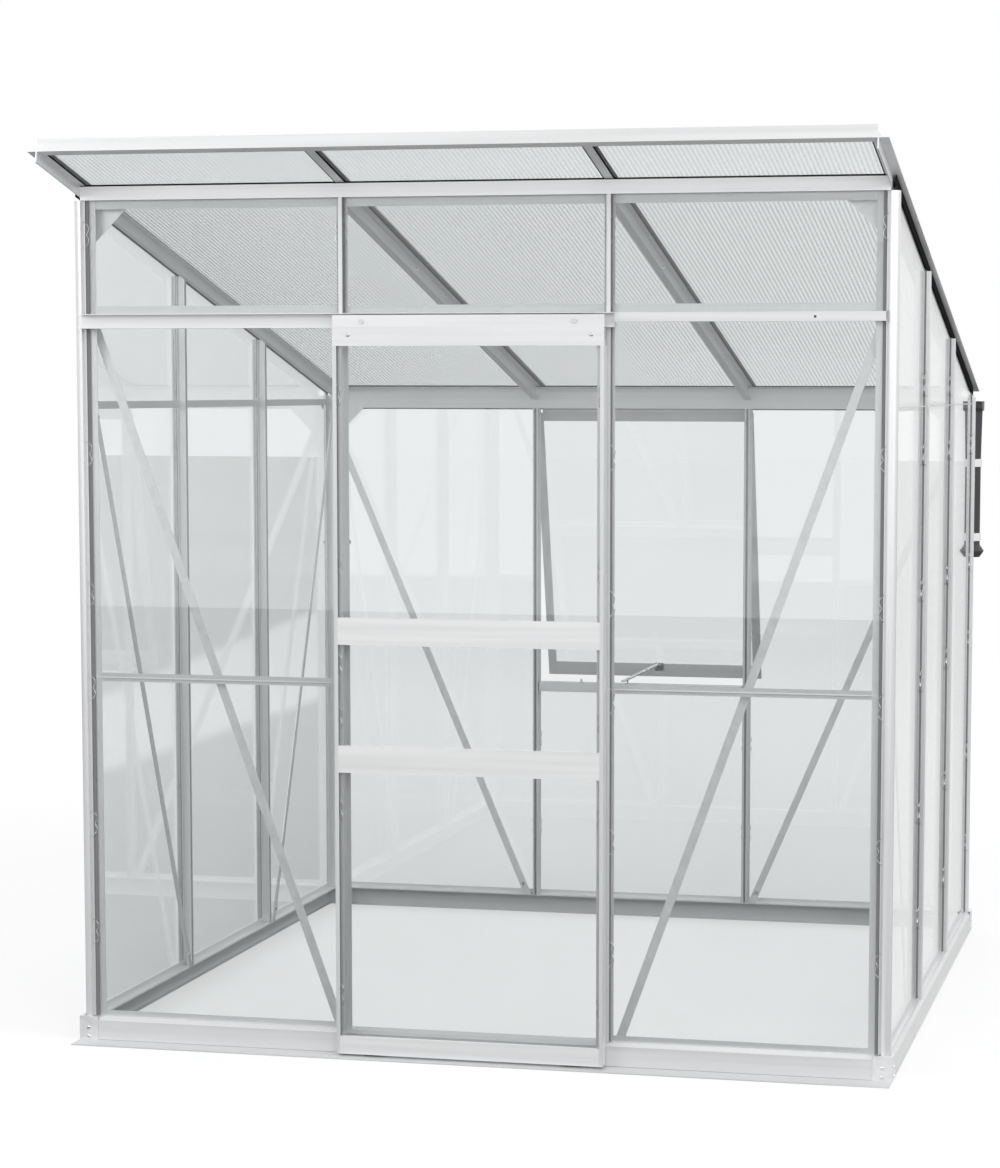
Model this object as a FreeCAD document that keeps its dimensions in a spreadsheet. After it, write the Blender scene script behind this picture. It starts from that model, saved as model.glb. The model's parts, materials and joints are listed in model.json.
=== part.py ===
import FreeCAD, Part
import os
import re
import Sketcher

# A free-standing pent-roof greenhouse: three glazed bays on every wall, a sliding door hung
# from a track, a top-hung window in the back wall, ribbed roof sheets and a rear gutter.
# Millimetres, +Z up, front towards -Y. Depths into or out of a wall are measured outwards
# from the wall plane, which runs through the middle lines of the four corner posts.

SIZES = [
    # Plan
    ("bay_pitch", 620),
    # Plinth and corner plates
    ("plinth_out", 30), ("plinth_height", 56), ("plinth_sheet", 2), ("plinth_shelf", 44),
    ("plinth_bevel", 7), ("plinth_bead", 3), ("plinth_bead_low", 4), ("plinth_bead_high", 8),
    ("plinth_lip", 12), ("foot_reach", 60), ("foot_sheet", 3), ("corner_plate_arm", 44),
    ("corner_plate_sheet", 1.5), ("corner_plate_cap", 5.5),
    # Glazing bars and glass
    ("channel_inner", 11), ("channel_half", 7), ("channel_wall", 1.5), ("channel_slot", 6),
    ("flange_inner", 8), ("flange_sheet", 2), ("flange_half", 12), ("stem_half", 1.5),
    ("head_half", 4.5), ("head_sheet", 4), ("bar_out", 26), ("glass_sheet", 3), ("glass_gap", 2),
    # Corner posts
    ("post_out", 24), ("post_box", 20), ("post_round", 19), ("post_flange", 27), ("post_wall", 2),
    ("post_bore", 5), ("post_glass_gap", 9),
    # Sills
    ("sill_sheet", 2), ("sill_upstand", 12), ("sill_reach", 18),
    # Roof line, front beam and eave rail
    ("front_height", 1992), ("roof_slope", 13.5), ("beam_height", 30), ("beam_out", 24),
    ("beam_wall", 2), ("beam_flange", 20), ("beam_groove", 8), ("eave_depth", 68.5),
    ("eave_rail_depth", 47),
    # Joints between panes
    ("girt_rise", 16), ("girt_half", 9), ("front_girt_height", 861), ("front_girt_half", 10),
    ("girt_web", 1.5), ("girt_lip", 2), ("clerestory_depth", 310), ("transom_web", 19),
    ("transom_depth", 39),
    # Door track and head bar
    ("track_drop", 13), ("track_height", 33), ("track_depth", 24), ("track_wall", 1.7),
    ("track_edge", 3.5), ("track_lap", 15), ("track_groove", 0.8), ("track_step", 5.6),
    ("head_bar_rise", 12), ("head_bar_out", 34), ("head_bar_gap", 2), ("head_hole_radius", 3),
    ("head_hole_inset", 155), ("head_hole_rise", 10),
    # Sliding door
    ("door_lap_left", 8), ("door_lap_right", 1), ("door_low", 8), ("door_back", 34),
    ("door_front", 64), ("stile_web", 3), ("stile_lip", 9), ("stile_flange", 18),
    ("stile_return", 12), ("stile_sheet", 2), ("door_glass_in", 12), ("door_top_rise", 28),
    ("door_head_depth", 41), ("door_head_gap", 3), ("door_head_step", 1.5),
    ("door_rail_height", 62), ("door_rail_low", 660), ("door_rail_high", 953),
    ("door_foot_high", 49), ("door_pane_lap", 10), ("door_rail_wall", 2), ("pane_gap", 1),
    # Rollers and glides
    ("roller_radius", 12), ("roller_width", 10), ("roller_groove", 1.5), ("roller_gap", 0.3),
    ("roller_inset", 68), ("roller_land", 3), ("axle_radius", 3), ("axle_fit", 0.05),
    ("axle_head", 5.5), ("axle_head_height", 3), ("guide_width", 40), ("guide_height", 18),
    ("guide_gap", 0.6), ("guide_inset", 60),
    # Roof sheets, fascia, verges and seals
    ("roof_overhang", 268), ("roof_tail", 68), ("roof_sheet", 10), ("fascia_rise", 27),
    ("fascia_wall", 2), ("fascia_lip", 28), ("fascia_cap", 18), ("verge_web_in", 4),
    ("verge_web", 3), ("verge_drop", 26.5), ("verge_wing", 28), ("verge_sheet", 2),
    ("verge_ledge", 12), ("verge_cap", 14), ("sheet_gap", 1), ("seal_sheet", 3), ("bar_half", 10),
    ("bar_cap_half", 14), ("bar_sheet", 2), ("roof_seal_width", 3), ("roof_seal_sheet", 1.5),
    ("rail_seal_width", 12), ("rail_seal_sheet", 4.5),
    # Rafters
    ("rafter_depth", 45), ("rafter_half", 10), ("rafter_web", 1.5), ("rafter_sheet", 2),
    ("end_rafter_depth", 39), ("end_rafter_inset", 13),
    # Braces, gussets and bolts
    ("brace_width", 20), ("brace_sheet", 3), ("brace_inset", 12), ("brace_foot", 22),
    ("front_brace_rise", 2), ("side_brace_rise", 5), ("back_brace_drop", 45),
    ("bolt_setback", 18), ("gusset_leg", 116), ("gusset_lap_front", 18), ("gusset_lap_back", 26),
    ("gusset_sheet", 2), ("bolt_radius", 5), ("bolt_height", 3.5), ("rafter_bolt_front", 605),
    ("rafter_bolt_rear", 405),
    # Gutter
    ("gutter_near", 33), ("gutter_far", 101), ("gutter_drop", 4), ("gutter_depth", 27),
    ("gutter_wall", 2), ("gutter_over", 40), ("gutter_bend", 9),
    # Downpipes and clips
    ("pipe_place", 5), ("pipe_out", 69), ("pipe_radius", 30), ("pipe_wall", 2),
    ("funnel_radius", 33), ("funnel_length", 143), ("pipe_length", 234), ("flare_radius", 42),
    ("flare_length", 35), ("clip_band", 3), ("clip_height", 22), ("clip_drop", 14),
    ("clip_rise", 11), ("clip_width", 11), ("clip_side", 3), ("clip_fit", 0.3),
    # Window and its hinge
    ("window_side_lap", 10), ("window_length", 805), ("window_open", 13), ("hinge_out", 27),
    ("hinge_drop", 7), ("window_stile", 24), ("window_foot", 40), ("window_head", 31),
    ("window_base", 4), ("window_web", 3), ("window_lip", 2), ("window_lap", 12),
    ("window_neck", 1.5), ("window_neck_length", 7), ("bead_radius", 4), ("claw_gap", 0.3),
    ("claw_wall", 2), ("claw_plate_rise", 26), ("window_sill_depth", 27),
    ("window_sill_rise", 18),
    # Stay, bracket and pegs
    ("stay_place", 16), ("stay_rise", 41), ("stay_in", 11), ("stay_tilt", 8.3),
    ("stay_swing", 15.5), ("stay_width", 12), ("stay_sheet", 3), ("stay_reach", 200),
    ("stay_end", 28), ("stay_hole", 3.5), ("stay_fit", 0.05), ("stay_pin", 3), ("stay_gap", 0.3),
    ("bracket_width", 26), ("bracket_rise", 19), ("bracket_depth", 24), ("bracket_sheet", 2),
    ("bracket_tongue", 16), ("bracket_gap", 1), ("pin_head", 5.5), ("pin_head_height", 2),
    ("peg_radius", 2.5), ("peg_height", 11), ("peg_base", 8.5), ("peg_base_sheet", 2),
    ("peg_spacing", 137),
]

# Heights and places that follow from the sizes, each written once as a formula
FOLLOWS = {
    "eave_height": "front_height - 3 * bay_pitch * tan(roof_slope * 1 deg) - eave_depth",
    "girt_height": "eave_height + girt_rise",
    "transom_low": "front_height - clerestory_depth",
    "transom_mid": "transom_low + transom_web",
    "transom_high": "transom_low + transom_depth",
    "track_low": "transom_low - track_drop",
    "track_high": "track_low + track_height",
    "track_right": "bay_pitch / 2 + track_lap",
    "head_bar_low": "track_low + head_bar_rise",
    "head_bar_right": "1.5 * bay_pitch - head_bar_gap",
    "door_left": "-bay_pitch / 2 - door_lap_left",
    "door_right": "bay_pitch / 2 - door_lap_right",
    "door_top": "track_low + door_top_rise",
    "door_head_low": "track_low - door_head_depth",
    "roller_left": "door_left + roller_inset",
    "roller_right": "door_right - roller_inset",
    "front_brace_height": "transom_low + front_brace_rise",
    "side_brace_height": "eave_height + side_brace_rise",
    "back_brace_height": "eave_height - back_brace_drop",
    "rafter_bolt_back": "3 * bay_pitch - rafter_bolt_rear",
    "gutter_low": "eave_height - gutter_drop",
    "gutter_high": "gutter_low + gutter_depth",
    "gutter_end": "1.5 * bay_pitch + gutter_over",
    "funnel_low": "gutter_low - funnel_length",
    "pipe_low": "funnel_low - pipe_length",
    "flare_low": "pipe_low - flare_length",
    "clip_high": "funnel_low - clip_drop",
    "clip_low": "pipe_low + clip_rise",
    "hinge_height": "eave_height - hinge_drop",
    "claw_plate_high": "hinge_height + claw_plate_rise",
    "window_half": "bay_pitch / 2 + window_side_lap",
    "window_sill_high": "hinge_height - window_length + window_sill_rise",
    "window_sill_low": "window_sill_high - window_sill_depth",
    "stay_down": "window_length - stay_rise",
    "bracket_low": "window_length - bracket_rise",
    "bracket_high": "bracket_low - bracket_depth",
}

HALF = "(1.5 * bay_pitch)"
MULLION = "(bay_pitch / 2)"
FLANGE_OUT = "(flange_inner + flange_sheet)"
GLASS_OUT = "(flange_inner + flange_sheet + glass_sheet)"
SLOPE = "(roof_slope * 1 deg)"
OPENING = "(window_open * 1 deg)"
PLINTH_INNER = "(plinth_shelf - plinth_out)"
SILL_TOP = "(plinth_height + sill_sheet)"
BEAM_LOW = "(front_height - beam_height)"
# The whole house is shifted along Y so that the origin lies under the middle of its outline.
REAR_EDGE = ("(1.5 * bay_pitch + hinge_out + window_length * sin(window_open * 1 deg)"
             " + (window_base + glass_sheet + window_lip) * cos(window_open * 1 deg))")
FRONT_EDGE = "(1.5 * bay_pitch + roof_overhang + verge_drop * sin(roof_slope * 1 deg))"
SHIFT = f"(({FRONT_EDGE} - {REAR_EDGE}) / 2)"

doc = FreeCAD.newDocument("Greenhouse")
sheet = doc.addObject("Spreadsheet::Sheet", "Sizes")
for row, (alias, number) in enumerate(SIZES, start=1):
    sheet.set(f"A{row}", alias)
    sheet.set(f"B{row}", str(number))
    sheet.setAlias(f"B{row}", alias)
doc.recompute()
ALIASES = {alias for alias, number in SIZES}
NODES = {}
# Rough values that a sketch or a turn starts from before its formulas take over
ROUGH_REACH = 60
ROUGH_ANGLE = 10
SMALL = 0.01
X_AXIS = FreeCAD.Vector(1, 0, 0)
Y_AXIS = FreeCAD.Vector(0, 1, 0)
Z_AXIS = FreeCAD.Vector(0, 0, 1)


def link(text):
    """Turn the size names in a formula into links to the sheet, and write out what follows."""
    def swap(found):
        word = found.group(0)
        if word in FOLLOWS:
            return f"({link(FOLLOWS[word])})"
        return "Sizes." + word if word in ALIASES else word
    return re.sub(r"[a-z_]+[a-z0-9_]*", swap, str(text))


def roof_height(along, drop="0"):
    """Height of the line that lies `drop` under the sheets at a distance along Y."""
    return f"(front_height - (({along}) + {HALF}) * tan({SLOPE}) - ({drop}) / cos({SLOPE}))"


def place(thing, x, y, z, axis=Z_AXIS, turn=0, turn_by=None):
    """Set where a piece stands; the shift that centres the house is added here."""
    angle = ROUGH_ANGLE if turn_by else turn
    thing.Placement = FreeCAD.Placement(FreeCAD.Vector(0, 0, 0), FreeCAD.Rotation(axis, angle))
    thing.setExpression("Placement.Base.x", link(x))
    thing.setExpression("Placement.Base.y", link(f"({y}) + {SHIFT}"))
    thing.setExpression("Placement.Base.z", link(z))
    if turn_by:
        thing.setExpression("Placement.Rotation.Angle", link(turn_by))


def add_loop(sketch, outline, first):
    """Draw one closed outline whose corners are held by formulas."""
    count = len(outline)
    corners = []
    for step in range(count):
        turn = FreeCAD.Rotation(Z_AXIS, 360.0 * step / count)
        corners.append(turn.multVec(FreeCAD.Vector(ROUGH_REACH, 0, 0)))
    for step in range(count):
        sketch.addGeometry(Part.LineSegment(corners[step], corners[(step + 1) % count]), False)
    for step in range(count):
        after = first + (step + 1) % count
        sketch.addConstraint(Sketcher.Constraint("Coincident", first + step, 2, after, 1))
    for step, (across, up) in enumerate(outline):
        edge = first + step
        spot = corners[step]
        held = sketch.addConstraint(Sketcher.Constraint("DistanceX", -1, 1, edge, 1, spot.x))
        sketch.setExpression(f"Constraints[{held}]", link(across))
        held = sketch.addConstraint(Sketcher.Constraint("DistanceY", -1, 1, edge, 1, spot.y))
        sketch.setExpression(f"Constraints[{held}]", link(up))
    return first + count


def profile(name, plane, loops, length):
    """Pad a section: plane XY runs up, XZ runs to the back, YZ runs to the right."""
    body = doc.addObject("PartDesign::Body", name)
    role = plane + "_Plane"
    base = [item for item in body.Origin.OriginFeatures if item.Role == role][0]
    sketch = body.newObject("Sketcher::SketchObject", name + "_section")
    sketch.AttachmentSupport = (base, [""])
    sketch.MapMode = "FlatFace"
    first = 0
    for outline in loops:
        first = add_loop(sketch, outline, first)
    pad = body.newObject("PartDesign::Pad", name + "_length")
    pad.Profile = sketch
    pad.Reversed = plane == "XZ"
    pad.setExpression("Length", link(length))
    return body


def turned(name, outline):
    """Turn a half section (radius, height) round the vertical axis."""
    body = doc.addObject("PartDesign::Body", name)
    base = [item for item in body.Origin.OriginFeatures if item.Role == "XZ_Plane"][0]
    sketch = body.newObject("Sketcher::SketchObject", name + "_section")
    sketch.AttachmentSupport = (base, [""])
    sketch.MapMode = "FlatFace"
    add_loop(sketch, outline, 0)
    spin = body.newObject("PartDesign::Revolution", name + "_turn")
    spin.Profile = sketch
    spin.ReferenceAxis = (sketch, ["V_Axis"])
    spin.Angle = 360
    return body


def box(name, length, width, height):
    """A plain block."""
    block = doc.addObject("Part::Box", name)
    block.setExpression("Length", link(length))
    block.setExpression("Width", link(width))
    block.setExpression("Height", link(height))
    return block


def node(label, pieces):
    """Keep one named part: a single piece, or a group of separate pieces."""
    part = pieces[0]
    if len(pieces) > 1:
        part = doc.addObject("Part::Compound", label)
        part.Links = pieces
    part.Label = label
    NODES[label] = part
    return part


def mirrored(name, source):
    """The same piece on the other side of the house."""
    copy = doc.addObject("Part::Mirroring", name)
    copy.Source = source
    copy.Normal = X_AXIS
    copy.Base = FreeCAD.Vector(0, 0, 0)
    return copy


def both_sides(label, source):
    """A part and its mirror image, as one named group."""
    return node(label, [source, mirrored(label + "_mirror", source)])


def group_of(name, pieces):
    """Several pieces handled as one."""
    group = doc.addObject("Part::Compound", name)
    group.Links = pieces
    return group


WALL_TURN = {"front": 0, "right": 90, "back": 180, "left": 270}


def wall_point(wall, along, out):
    """Ground point at a distance along a wall and outwards from its plane."""
    if wall == "front":
        return f"({along})", f"-{HALF} - ({out})"
    if wall == "right":
        return f"{HALF} + ({out})", f"({along})"
    return f"-({along})", f"{HALF} + ({out})"


def upright(name, wall, loops, along, low, height):
    """A vertical length of section; corners are given as (along, outwards)."""
    flat = [[(across, f"-({out})") for across, out in loop] for loop in loops]
    body = profile(name, "XY", flat, height)
    x, y = wall_point(wall, along, "0")
    place(body, x, y, low, turn=WALL_TURN[wall])
    return body


def crossbar(name, wall, loops, start, length):
    """A level length of section; corners are given as (outwards, height)."""
    flat = [[(f"-({out})", up) for out, up in loop] for loop in loops]
    body = profile(name, "YZ", flat, length)
    x, y = wall_point(wall, start, "0")
    place(body, x, y, "0", turn=WALL_TURN[wall])
    return body


def wall_plate(name, wall, outline, out, sheet_size):
    """A flat plate in a wall; corners are given as (along, height), `out` is its outer face."""
    body = profile(name, "XZ", [outline], sheet_size)
    x, y = wall_point(wall, "0", out)
    place(body, x, y, "0", turn=WALL_TURN[wall])
    return body


def pane(name, wall, left, right, low, high):
    """A rectangular glass pane resting against the glazing flanges."""
    outline = [(left, low), (right, low), (right, high), (left, high)]
    return wall_plate(name, wall, outline, GLASS_OUT, "glass_sheet")


def flat_bar(name, wall, foot, head, out):
    """A flat bar between two points (along, height) of a wall, its foot cut level."""
    run = f"(({head[0]}) - ({foot[0]}))"
    rise = f"(({head[1]}) - ({foot[1]}))"
    size = f"sqrt({run}^2 + {rise}^2)"
    side_x = f"(brace_width / 2 * {rise} / {size})"
    side_z = f"(brace_width / 2 * {run} / {size})"
    level = f"(brace_width / 2 * {size} / {rise})"
    outline = [
        (f"({foot[0]}) + {level}", foot[1]),
        (f"({head[0]}) + {side_x}", f"({head[1]}) - {side_z}"),
        (f"({head[0]}) - {side_x}", f"({head[1]}) + {side_z}"),
        (f"({foot[0]}) - {level}", foot[1]),
    ]
    return wall_plate(name, wall, outline, out, "brace_sheet")


# Corner plates: folded covers over the plinth mitres, each with a lip on the plinth top


def plate_angle(name, far, near, low, height):
    """An upright angle whose two arms lie between two distances out of the walls."""
    arm_end = "(plinth_out - corner_plate_arm)"
    outline = [
        (f"-({far})", f"-({far})"), (f"-{arm_end}", f"-({far})"), (f"-{arm_end}", f"-({near})"),
        (f"-({near})", f"-({near})"), (f"-({near})", f"-{arm_end}"), (f"-({far})", f"-{arm_end}"),
    ]
    angle = profile(name, "XY", [outline], height)
    x = HALF if side in (1, 2) else f"-{HALF}"
    y = HALF if side in (2, 3) else f"-{HALF}"
    place(angle, x, y, low, turn=90 * side)
    return angle


plates = []
for side in range(4):
    plate = doc.addObject("Part::MultiFuse", f"corner_plate_{side}")
    plate.Shapes = [
        plate_angle(f"corner_plate_face_{side}", "plinth_out + corner_plate_sheet", "plinth_out",
                    "foot_sheet", "plinth_height + corner_plate_sheet - foot_sheet"),
        plate_angle(f"corner_plate_lip_{side}", "plinth_out", "plinth_out - corner_plate_cap",
                    "plinth_height", "corner_plate_sheet"),
    ]
    plates.append(plate)
corner_plates = node("plinth_corners", plates)

# Plinth: folded sheet rail with a shelf, a bevelled edge, a bead and a foot on the front only
bevel = "(plinth_height - plinth_bevel)"
inner_lip = "(plinth_out - plinth_sheet - plinth_lip)"
plinth_shell = [
    ("plinth_out - plinth_bevel", "plinth_height"),
    ("plinth_out", bevel),
    ("plinth_out", "plinth_bead_high"),
    ("plinth_out + plinth_bead / 2", "plinth_bead_high"),
    ("plinth_out + plinth_bead / 2", "plinth_bead_low"),
]
plinth_inside = [
    (inner_lip, "0"),
    (inner_lip, "plinth_sheet"),
    ("plinth_out - plinth_sheet", "plinth_sheet"),
    ("plinth_out - plinth_sheet", f"{bevel} - plinth_sheet / 2"),
    ("plinth_out - plinth_bevel - plinth_sheet / 2", "plinth_height - plinth_sheet"),
    (f"-{PLINTH_INNER}", "plinth_height - plinth_sheet"),
    (f"-{PLINTH_INNER}", "plinth_height"),
]
plain_foot = [("plinth_out", "plinth_bead_low"), ("plinth_out", "0")]
front_foot = [
    ("plinth_out", "plinth_bead_low"),
    ("plinth_out", "foot_sheet"),
    ("plinth_out + foot_reach", "foot_sheet"),
    ("plinth_out + foot_reach", "0"),
]
plinth_length = f"2 * ({HALF} + plinth_out)"
plinth_start = f"-({HALF} + plinth_out)"
mitre_reach = f"({HALF} + plinth_out + foot_reach + plinth_height)"
for wall in ("front", "back", "right"):
    foot = front_foot if wall == "front" else plain_foot
    rail = crossbar(f"plinth_{wall}_rail", wall, [plinth_shell + foot + plinth_inside],
                    plinth_start, plinth_length)
    wedge_outline = [
        ("0", "0"), (f"-{mitre_reach}", f"-{mitre_reach}"), (mitre_reach, f"-{mitre_reach}"),
    ]
    wedge = profile(f"plinth_{wall}_mitre", "XY", [wedge_outline], "2 * plinth_height")
    place(wedge, "0", "0", "-plinth_height / 2", turn=WALL_TURN[wall])
    mitred = doc.addObject("Part::Common", f"plinth_{wall}_mitred")
    mitred.Base = rail
    mitred.Tool = wedge
    cut = doc.addObject("Part::Cut", f"plinth_{wall}_cut")
    cut.Base = mitred
    cut.Tool = corner_plates
    if wall == "right":
        both_sides("plinth_sides", cut)
    else:
        node(f"plinth_{wall}", [cut])

# Corner posts: a rounded hollow corner, a square tube and two glazing flanges
post_inner = "(post_out - post_box)"
post_outline = [
    (post_inner, "post_out"), ("post_out", "post_out"), ("post_out", post_inner),
    (FLANGE_OUT, post_inner), (FLANGE_OUT, "-post_flange"), ("flange_inner", "-post_flange"),
    ("flange_inner", "-channel_inner"), ("-channel_inner", "-channel_inner"),
    ("-channel_inner", "flange_inner"), ("-post_flange", "flange_inner"),
    ("-post_flange", FLANGE_OUT), (post_inner, FLANGE_OUT),
]
tube_low = "(post_wall - channel_inner)"
tube_high = "(flange_inner - post_wall)"
tube_hole = [(tube_low, tube_low), (tube_high, tube_low), (tube_high, tube_high),
             (tube_low, tube_high)]
bore_low = f"({FLANGE_OUT} + post_wall)"
bore_high = f"({FLANGE_OUT} + post_wall + post_bore)"
corner_hole = [(bore_low, bore_low), (bore_high, bore_low), (bore_high, bore_high),
               (bore_low, bore_high)]


def corner_post(name, x, y, turn, top):
    """A corner post; its section is given as (outwards to the left, outwards to the front)."""
    loops = [[(f"-({a})", f"-({b})") for a, b in loop]
             for loop in (post_outline, tube_hole, corner_hole)]
    body = profile(name, "XY", loops, f"{top} - plinth_height")
    place(body, x, y, "plinth_height", turn=turn)
    doc.recompute()
    pad = body.Tip
    uprights = []
    for number, edge in enumerate(pad.Shape.Edges, start=1):
        middle = edge.CenterOfMass
        spread = edge.BoundBox
        if spread.XLength < SMALL and spread.YLength < SMALL:
            uprights.append((middle.x + middle.y, f"Edge{number}"))
    rounding = body.newObject("PartDesign::Fillet", name + "_round")
    rounding.Base = (pad, [min(uprights)[1]])
    rounding.setExpression("Radius", link("post_round"))
    body.Tip = rounding
    return body


rear_post_top = roof_height(f"{HALF} + post_out", "verge_drop")
both_sides("posts_front", corner_post("post_front", HALF, f"-{HALF}", 90, BEAM_LOW))
both_sides("posts_back", corner_post("post_back", HALF, HALF, 180, rear_post_top))

# Glazing bars: a bolt channel inside, a flange for the glass, a stem and an outer head
slot_half = "(channel_slot / 2)"
hollow_half = "(channel_half - channel_wall)"
hollow_low = "(channel_wall - channel_inner)"
head_low = "(bar_out - head_sheet)"
half_bar = [
    ("head_half", "bar_out"), ("head_half", head_low), ("stem_half", head_low),
    ("stem_half", FLANGE_OUT), ("flange_half", FLANGE_OUT), ("flange_half", "flange_inner"),
    ("channel_half", "flange_inner"), ("channel_half", "-channel_inner"),
    (slot_half, "-channel_inner"), (slot_half, hollow_low), (hollow_half, hollow_low),
    (hollow_half, "flange_inner - channel_wall"),
]
bar_outline = half_bar + [(f"-({a})", out) for a, out in reversed(half_bar)]


def glazing_bars(label, wall, tops):
    """The two bars between the three bays of a wall."""
    bars = []
    for side, top in zip(("-", ""), tops):
        bars.append(upright(f"{label}_{len(bars)}", wall, [bar_outline], side + MULLION,
                            "plinth_height", f"{top} - plinth_height"))
    return bars


node("mullions_front", glazing_bars("mullion_front", "front", (BEAM_LOW, BEAM_LOW)))
node("mullions_back", glazing_bars("mullion_back", "back", ("eave_height", "eave_height")))
side_tops = [roof_height(f"{side}{MULLION} + flange_half", "verge_drop") for side in ("-", "")]
both_sides("mullions_sides", group_of("mullions_right",
                                      glazing_bars("mullion_right", "right", side_tops)))

# Sills: angle strips on the plinth shelf that carry the foot of the glass
sill_outline = [
    ("-channel_inner", "plinth_height"), ("sill_reach", "plinth_height"),
    ("sill_reach", SILL_TOP), (FLANGE_OUT, SILL_TOP),
    (FLANGE_OUT, f"{SILL_TOP} + sill_upstand"), ("flange_inner", f"{SILL_TOP} + sill_upstand"),
    ("flange_inner", SILL_TOP), ("-channel_inner", SILL_TOP),
]
post_edge = f"({HALF} - post_flange)"
inner_edge = f"({MULLION} - flange_half)"
outer_edge = f"({MULLION} + flange_half)"
BAYS = [(f"-{post_edge}", f"-{outer_edge}"), (f"-{inner_edge}", inner_edge),
        (outer_edge, post_edge)]


def bay_strips(label, wall, loops, bays):
    """One length of section in each of the named bays of a wall."""
    strips = []
    for bay in bays:
        start, end = BAYS[bay]
        strips.append(crossbar(f"{label}_{bay}", wall, loops, start, f"{end} - {start}"))
    return strips


node("sill_front", bay_strips("sill_front", "front", [sill_outline], (0, 2)))
node("sill_back", bay_strips("sill_back", "back", [sill_outline], (0, 1, 2)))
both_sides("sill_sides", group_of("sill_right", bay_strips("sill_right_bay", "right",
                                                           [sill_outline], (0, 1, 2))))


# Front beam and eave rail: hollow rails with a groove for the glass and a sloped upper edge
def rail_top(wall, out, drop="0"):
    """Height of a rail under the sheets and their seal, at a distance outwards."""
    sign = "-" if wall == "front" else ""
    return roof_height(f"{sign}({HALF} + ({out}))", f"rail_seal_sheet + {drop}")


def rail_foot(low):
    """Lower edge of a rail from its inner to its outer face, with the glass groove."""
    return [
        ("-channel_inner", low), (FLANGE_OUT, low), (FLANGE_OUT, f"{low} + beam_groove"),
        (GLASS_OUT, f"{low} + beam_groove"), (GLASS_OUT, low), ("beam_out", low),
    ]


hollow_in = "(beam_wall - channel_inner)"
hollow_out = f"({FLANGE_OUT} - beam_wall)"
upstand_in = "(beam_out - beam_wall)"


def rail_hollow(low, inner_top, outer_top):
    """Space inside a rail, stepped outwards above the glass groove."""
    step = f"{low} + beam_groove + beam_wall"
    return [
        (hollow_in, f"{low} + beam_wall"), (hollow_out, f"{low} + beam_wall"),
        (hollow_out, step), (upstand_in, step), (upstand_in, outer_top), (hollow_in, inner_top),
    ]


beam_outline = rail_foot(BEAM_LOW) + [
    ("beam_out", rail_top("front", "beam_out")),
    ("-channel_inner", rail_top("front", "-channel_inner")),
]
beam_hollow = rail_hollow(BEAM_LOW, rail_top("front", hollow_in, "beam_wall"),
                          rail_top("front", upstand_in, "beam_wall"))
beam_start = f"-({HALF} + verge_web_in)"
beam_length = f"2 * ({HALF} + verge_web_in)"
beam_flange = [
    ("flange_inner", f"{BEAM_LOW} - beam_flange"), (FLANGE_OUT, f"{BEAM_LOW} - beam_flange"),
    (FLANGE_OUT, BEAM_LOW), ("flange_inner", BEAM_LOW),
]
beam = doc.addObject("Part::MultiFuse", "front_beam_whole")
beam.Shapes = [
    crossbar("front_beam_rail", "front", [beam_outline, beam_hollow], beam_start, beam_length),
] + bay_strips("front_beam_flange", "front", [beam_flange], (0, 1, 2))
beam.Refine = True
node("front_beam", [beam])

# The eave rail is lower; an outer upstand with a lip carries the sheets above it
eave_top = "(eave_height + eave_rail_depth)"
lip_in = "(beam_out - rail_seal_width)"
eave_outline = rail_foot("eave_height") + [
    ("beam_out", rail_top("back", "beam_out")), (lip_in, rail_top("back", lip_in)),
    (lip_in, rail_top("back", lip_in, "beam_wall")),
    (upstand_in, rail_top("back", upstand_in, "beam_wall")),
    (upstand_in, eave_top), ("-channel_inner", eave_top),
]
eave_hollow = rail_hollow("eave_height", f"{eave_top} - beam_wall", f"{eave_top} - beam_wall")
node("eave_rail", [crossbar("eave_rail", "back", [eave_outline, eave_hollow], f"-{post_edge}",
                            f"2 * {post_edge}")])


# Glazing joints: level strips between two panes, one above the other
def joint_outline(low, middle, high):
    """A flange behind both panes and a web with a lip between them."""
    lip = f"({GLASS_OUT} + girt_lip)"
    return [
        ("flange_inner", low), (FLANGE_OUT, low), (FLANGE_OUT, f"{middle} - girt_web"),
        (lip, f"{middle} - girt_web"), (lip, f"{middle} + girt_web"),
        (FLANGE_OUT, f"{middle} + girt_web"), (FLANGE_OUT, high), ("flange_inner", high),
    ]


side_joint = joint_outline("girt_height - girt_half", "girt_height", "girt_height + girt_half")
front_joint = joint_outline("front_girt_height - front_girt_half", "front_girt_height",
                            "front_girt_height + front_girt_half")
transom = joint_outline("transom_low", "transom_mid", "transom_high")
both_sides("girts_sides", group_of("girt_right", bay_strips("girt_right_bay", "right",
                                                            [side_joint], (0, 1, 2))))
node("girts_front", bay_strips("girt_front", "front", [front_joint], (0, 2)))
node("transoms", bay_strips("transoms", "front", [transom], (0, 1, 2)))

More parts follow.
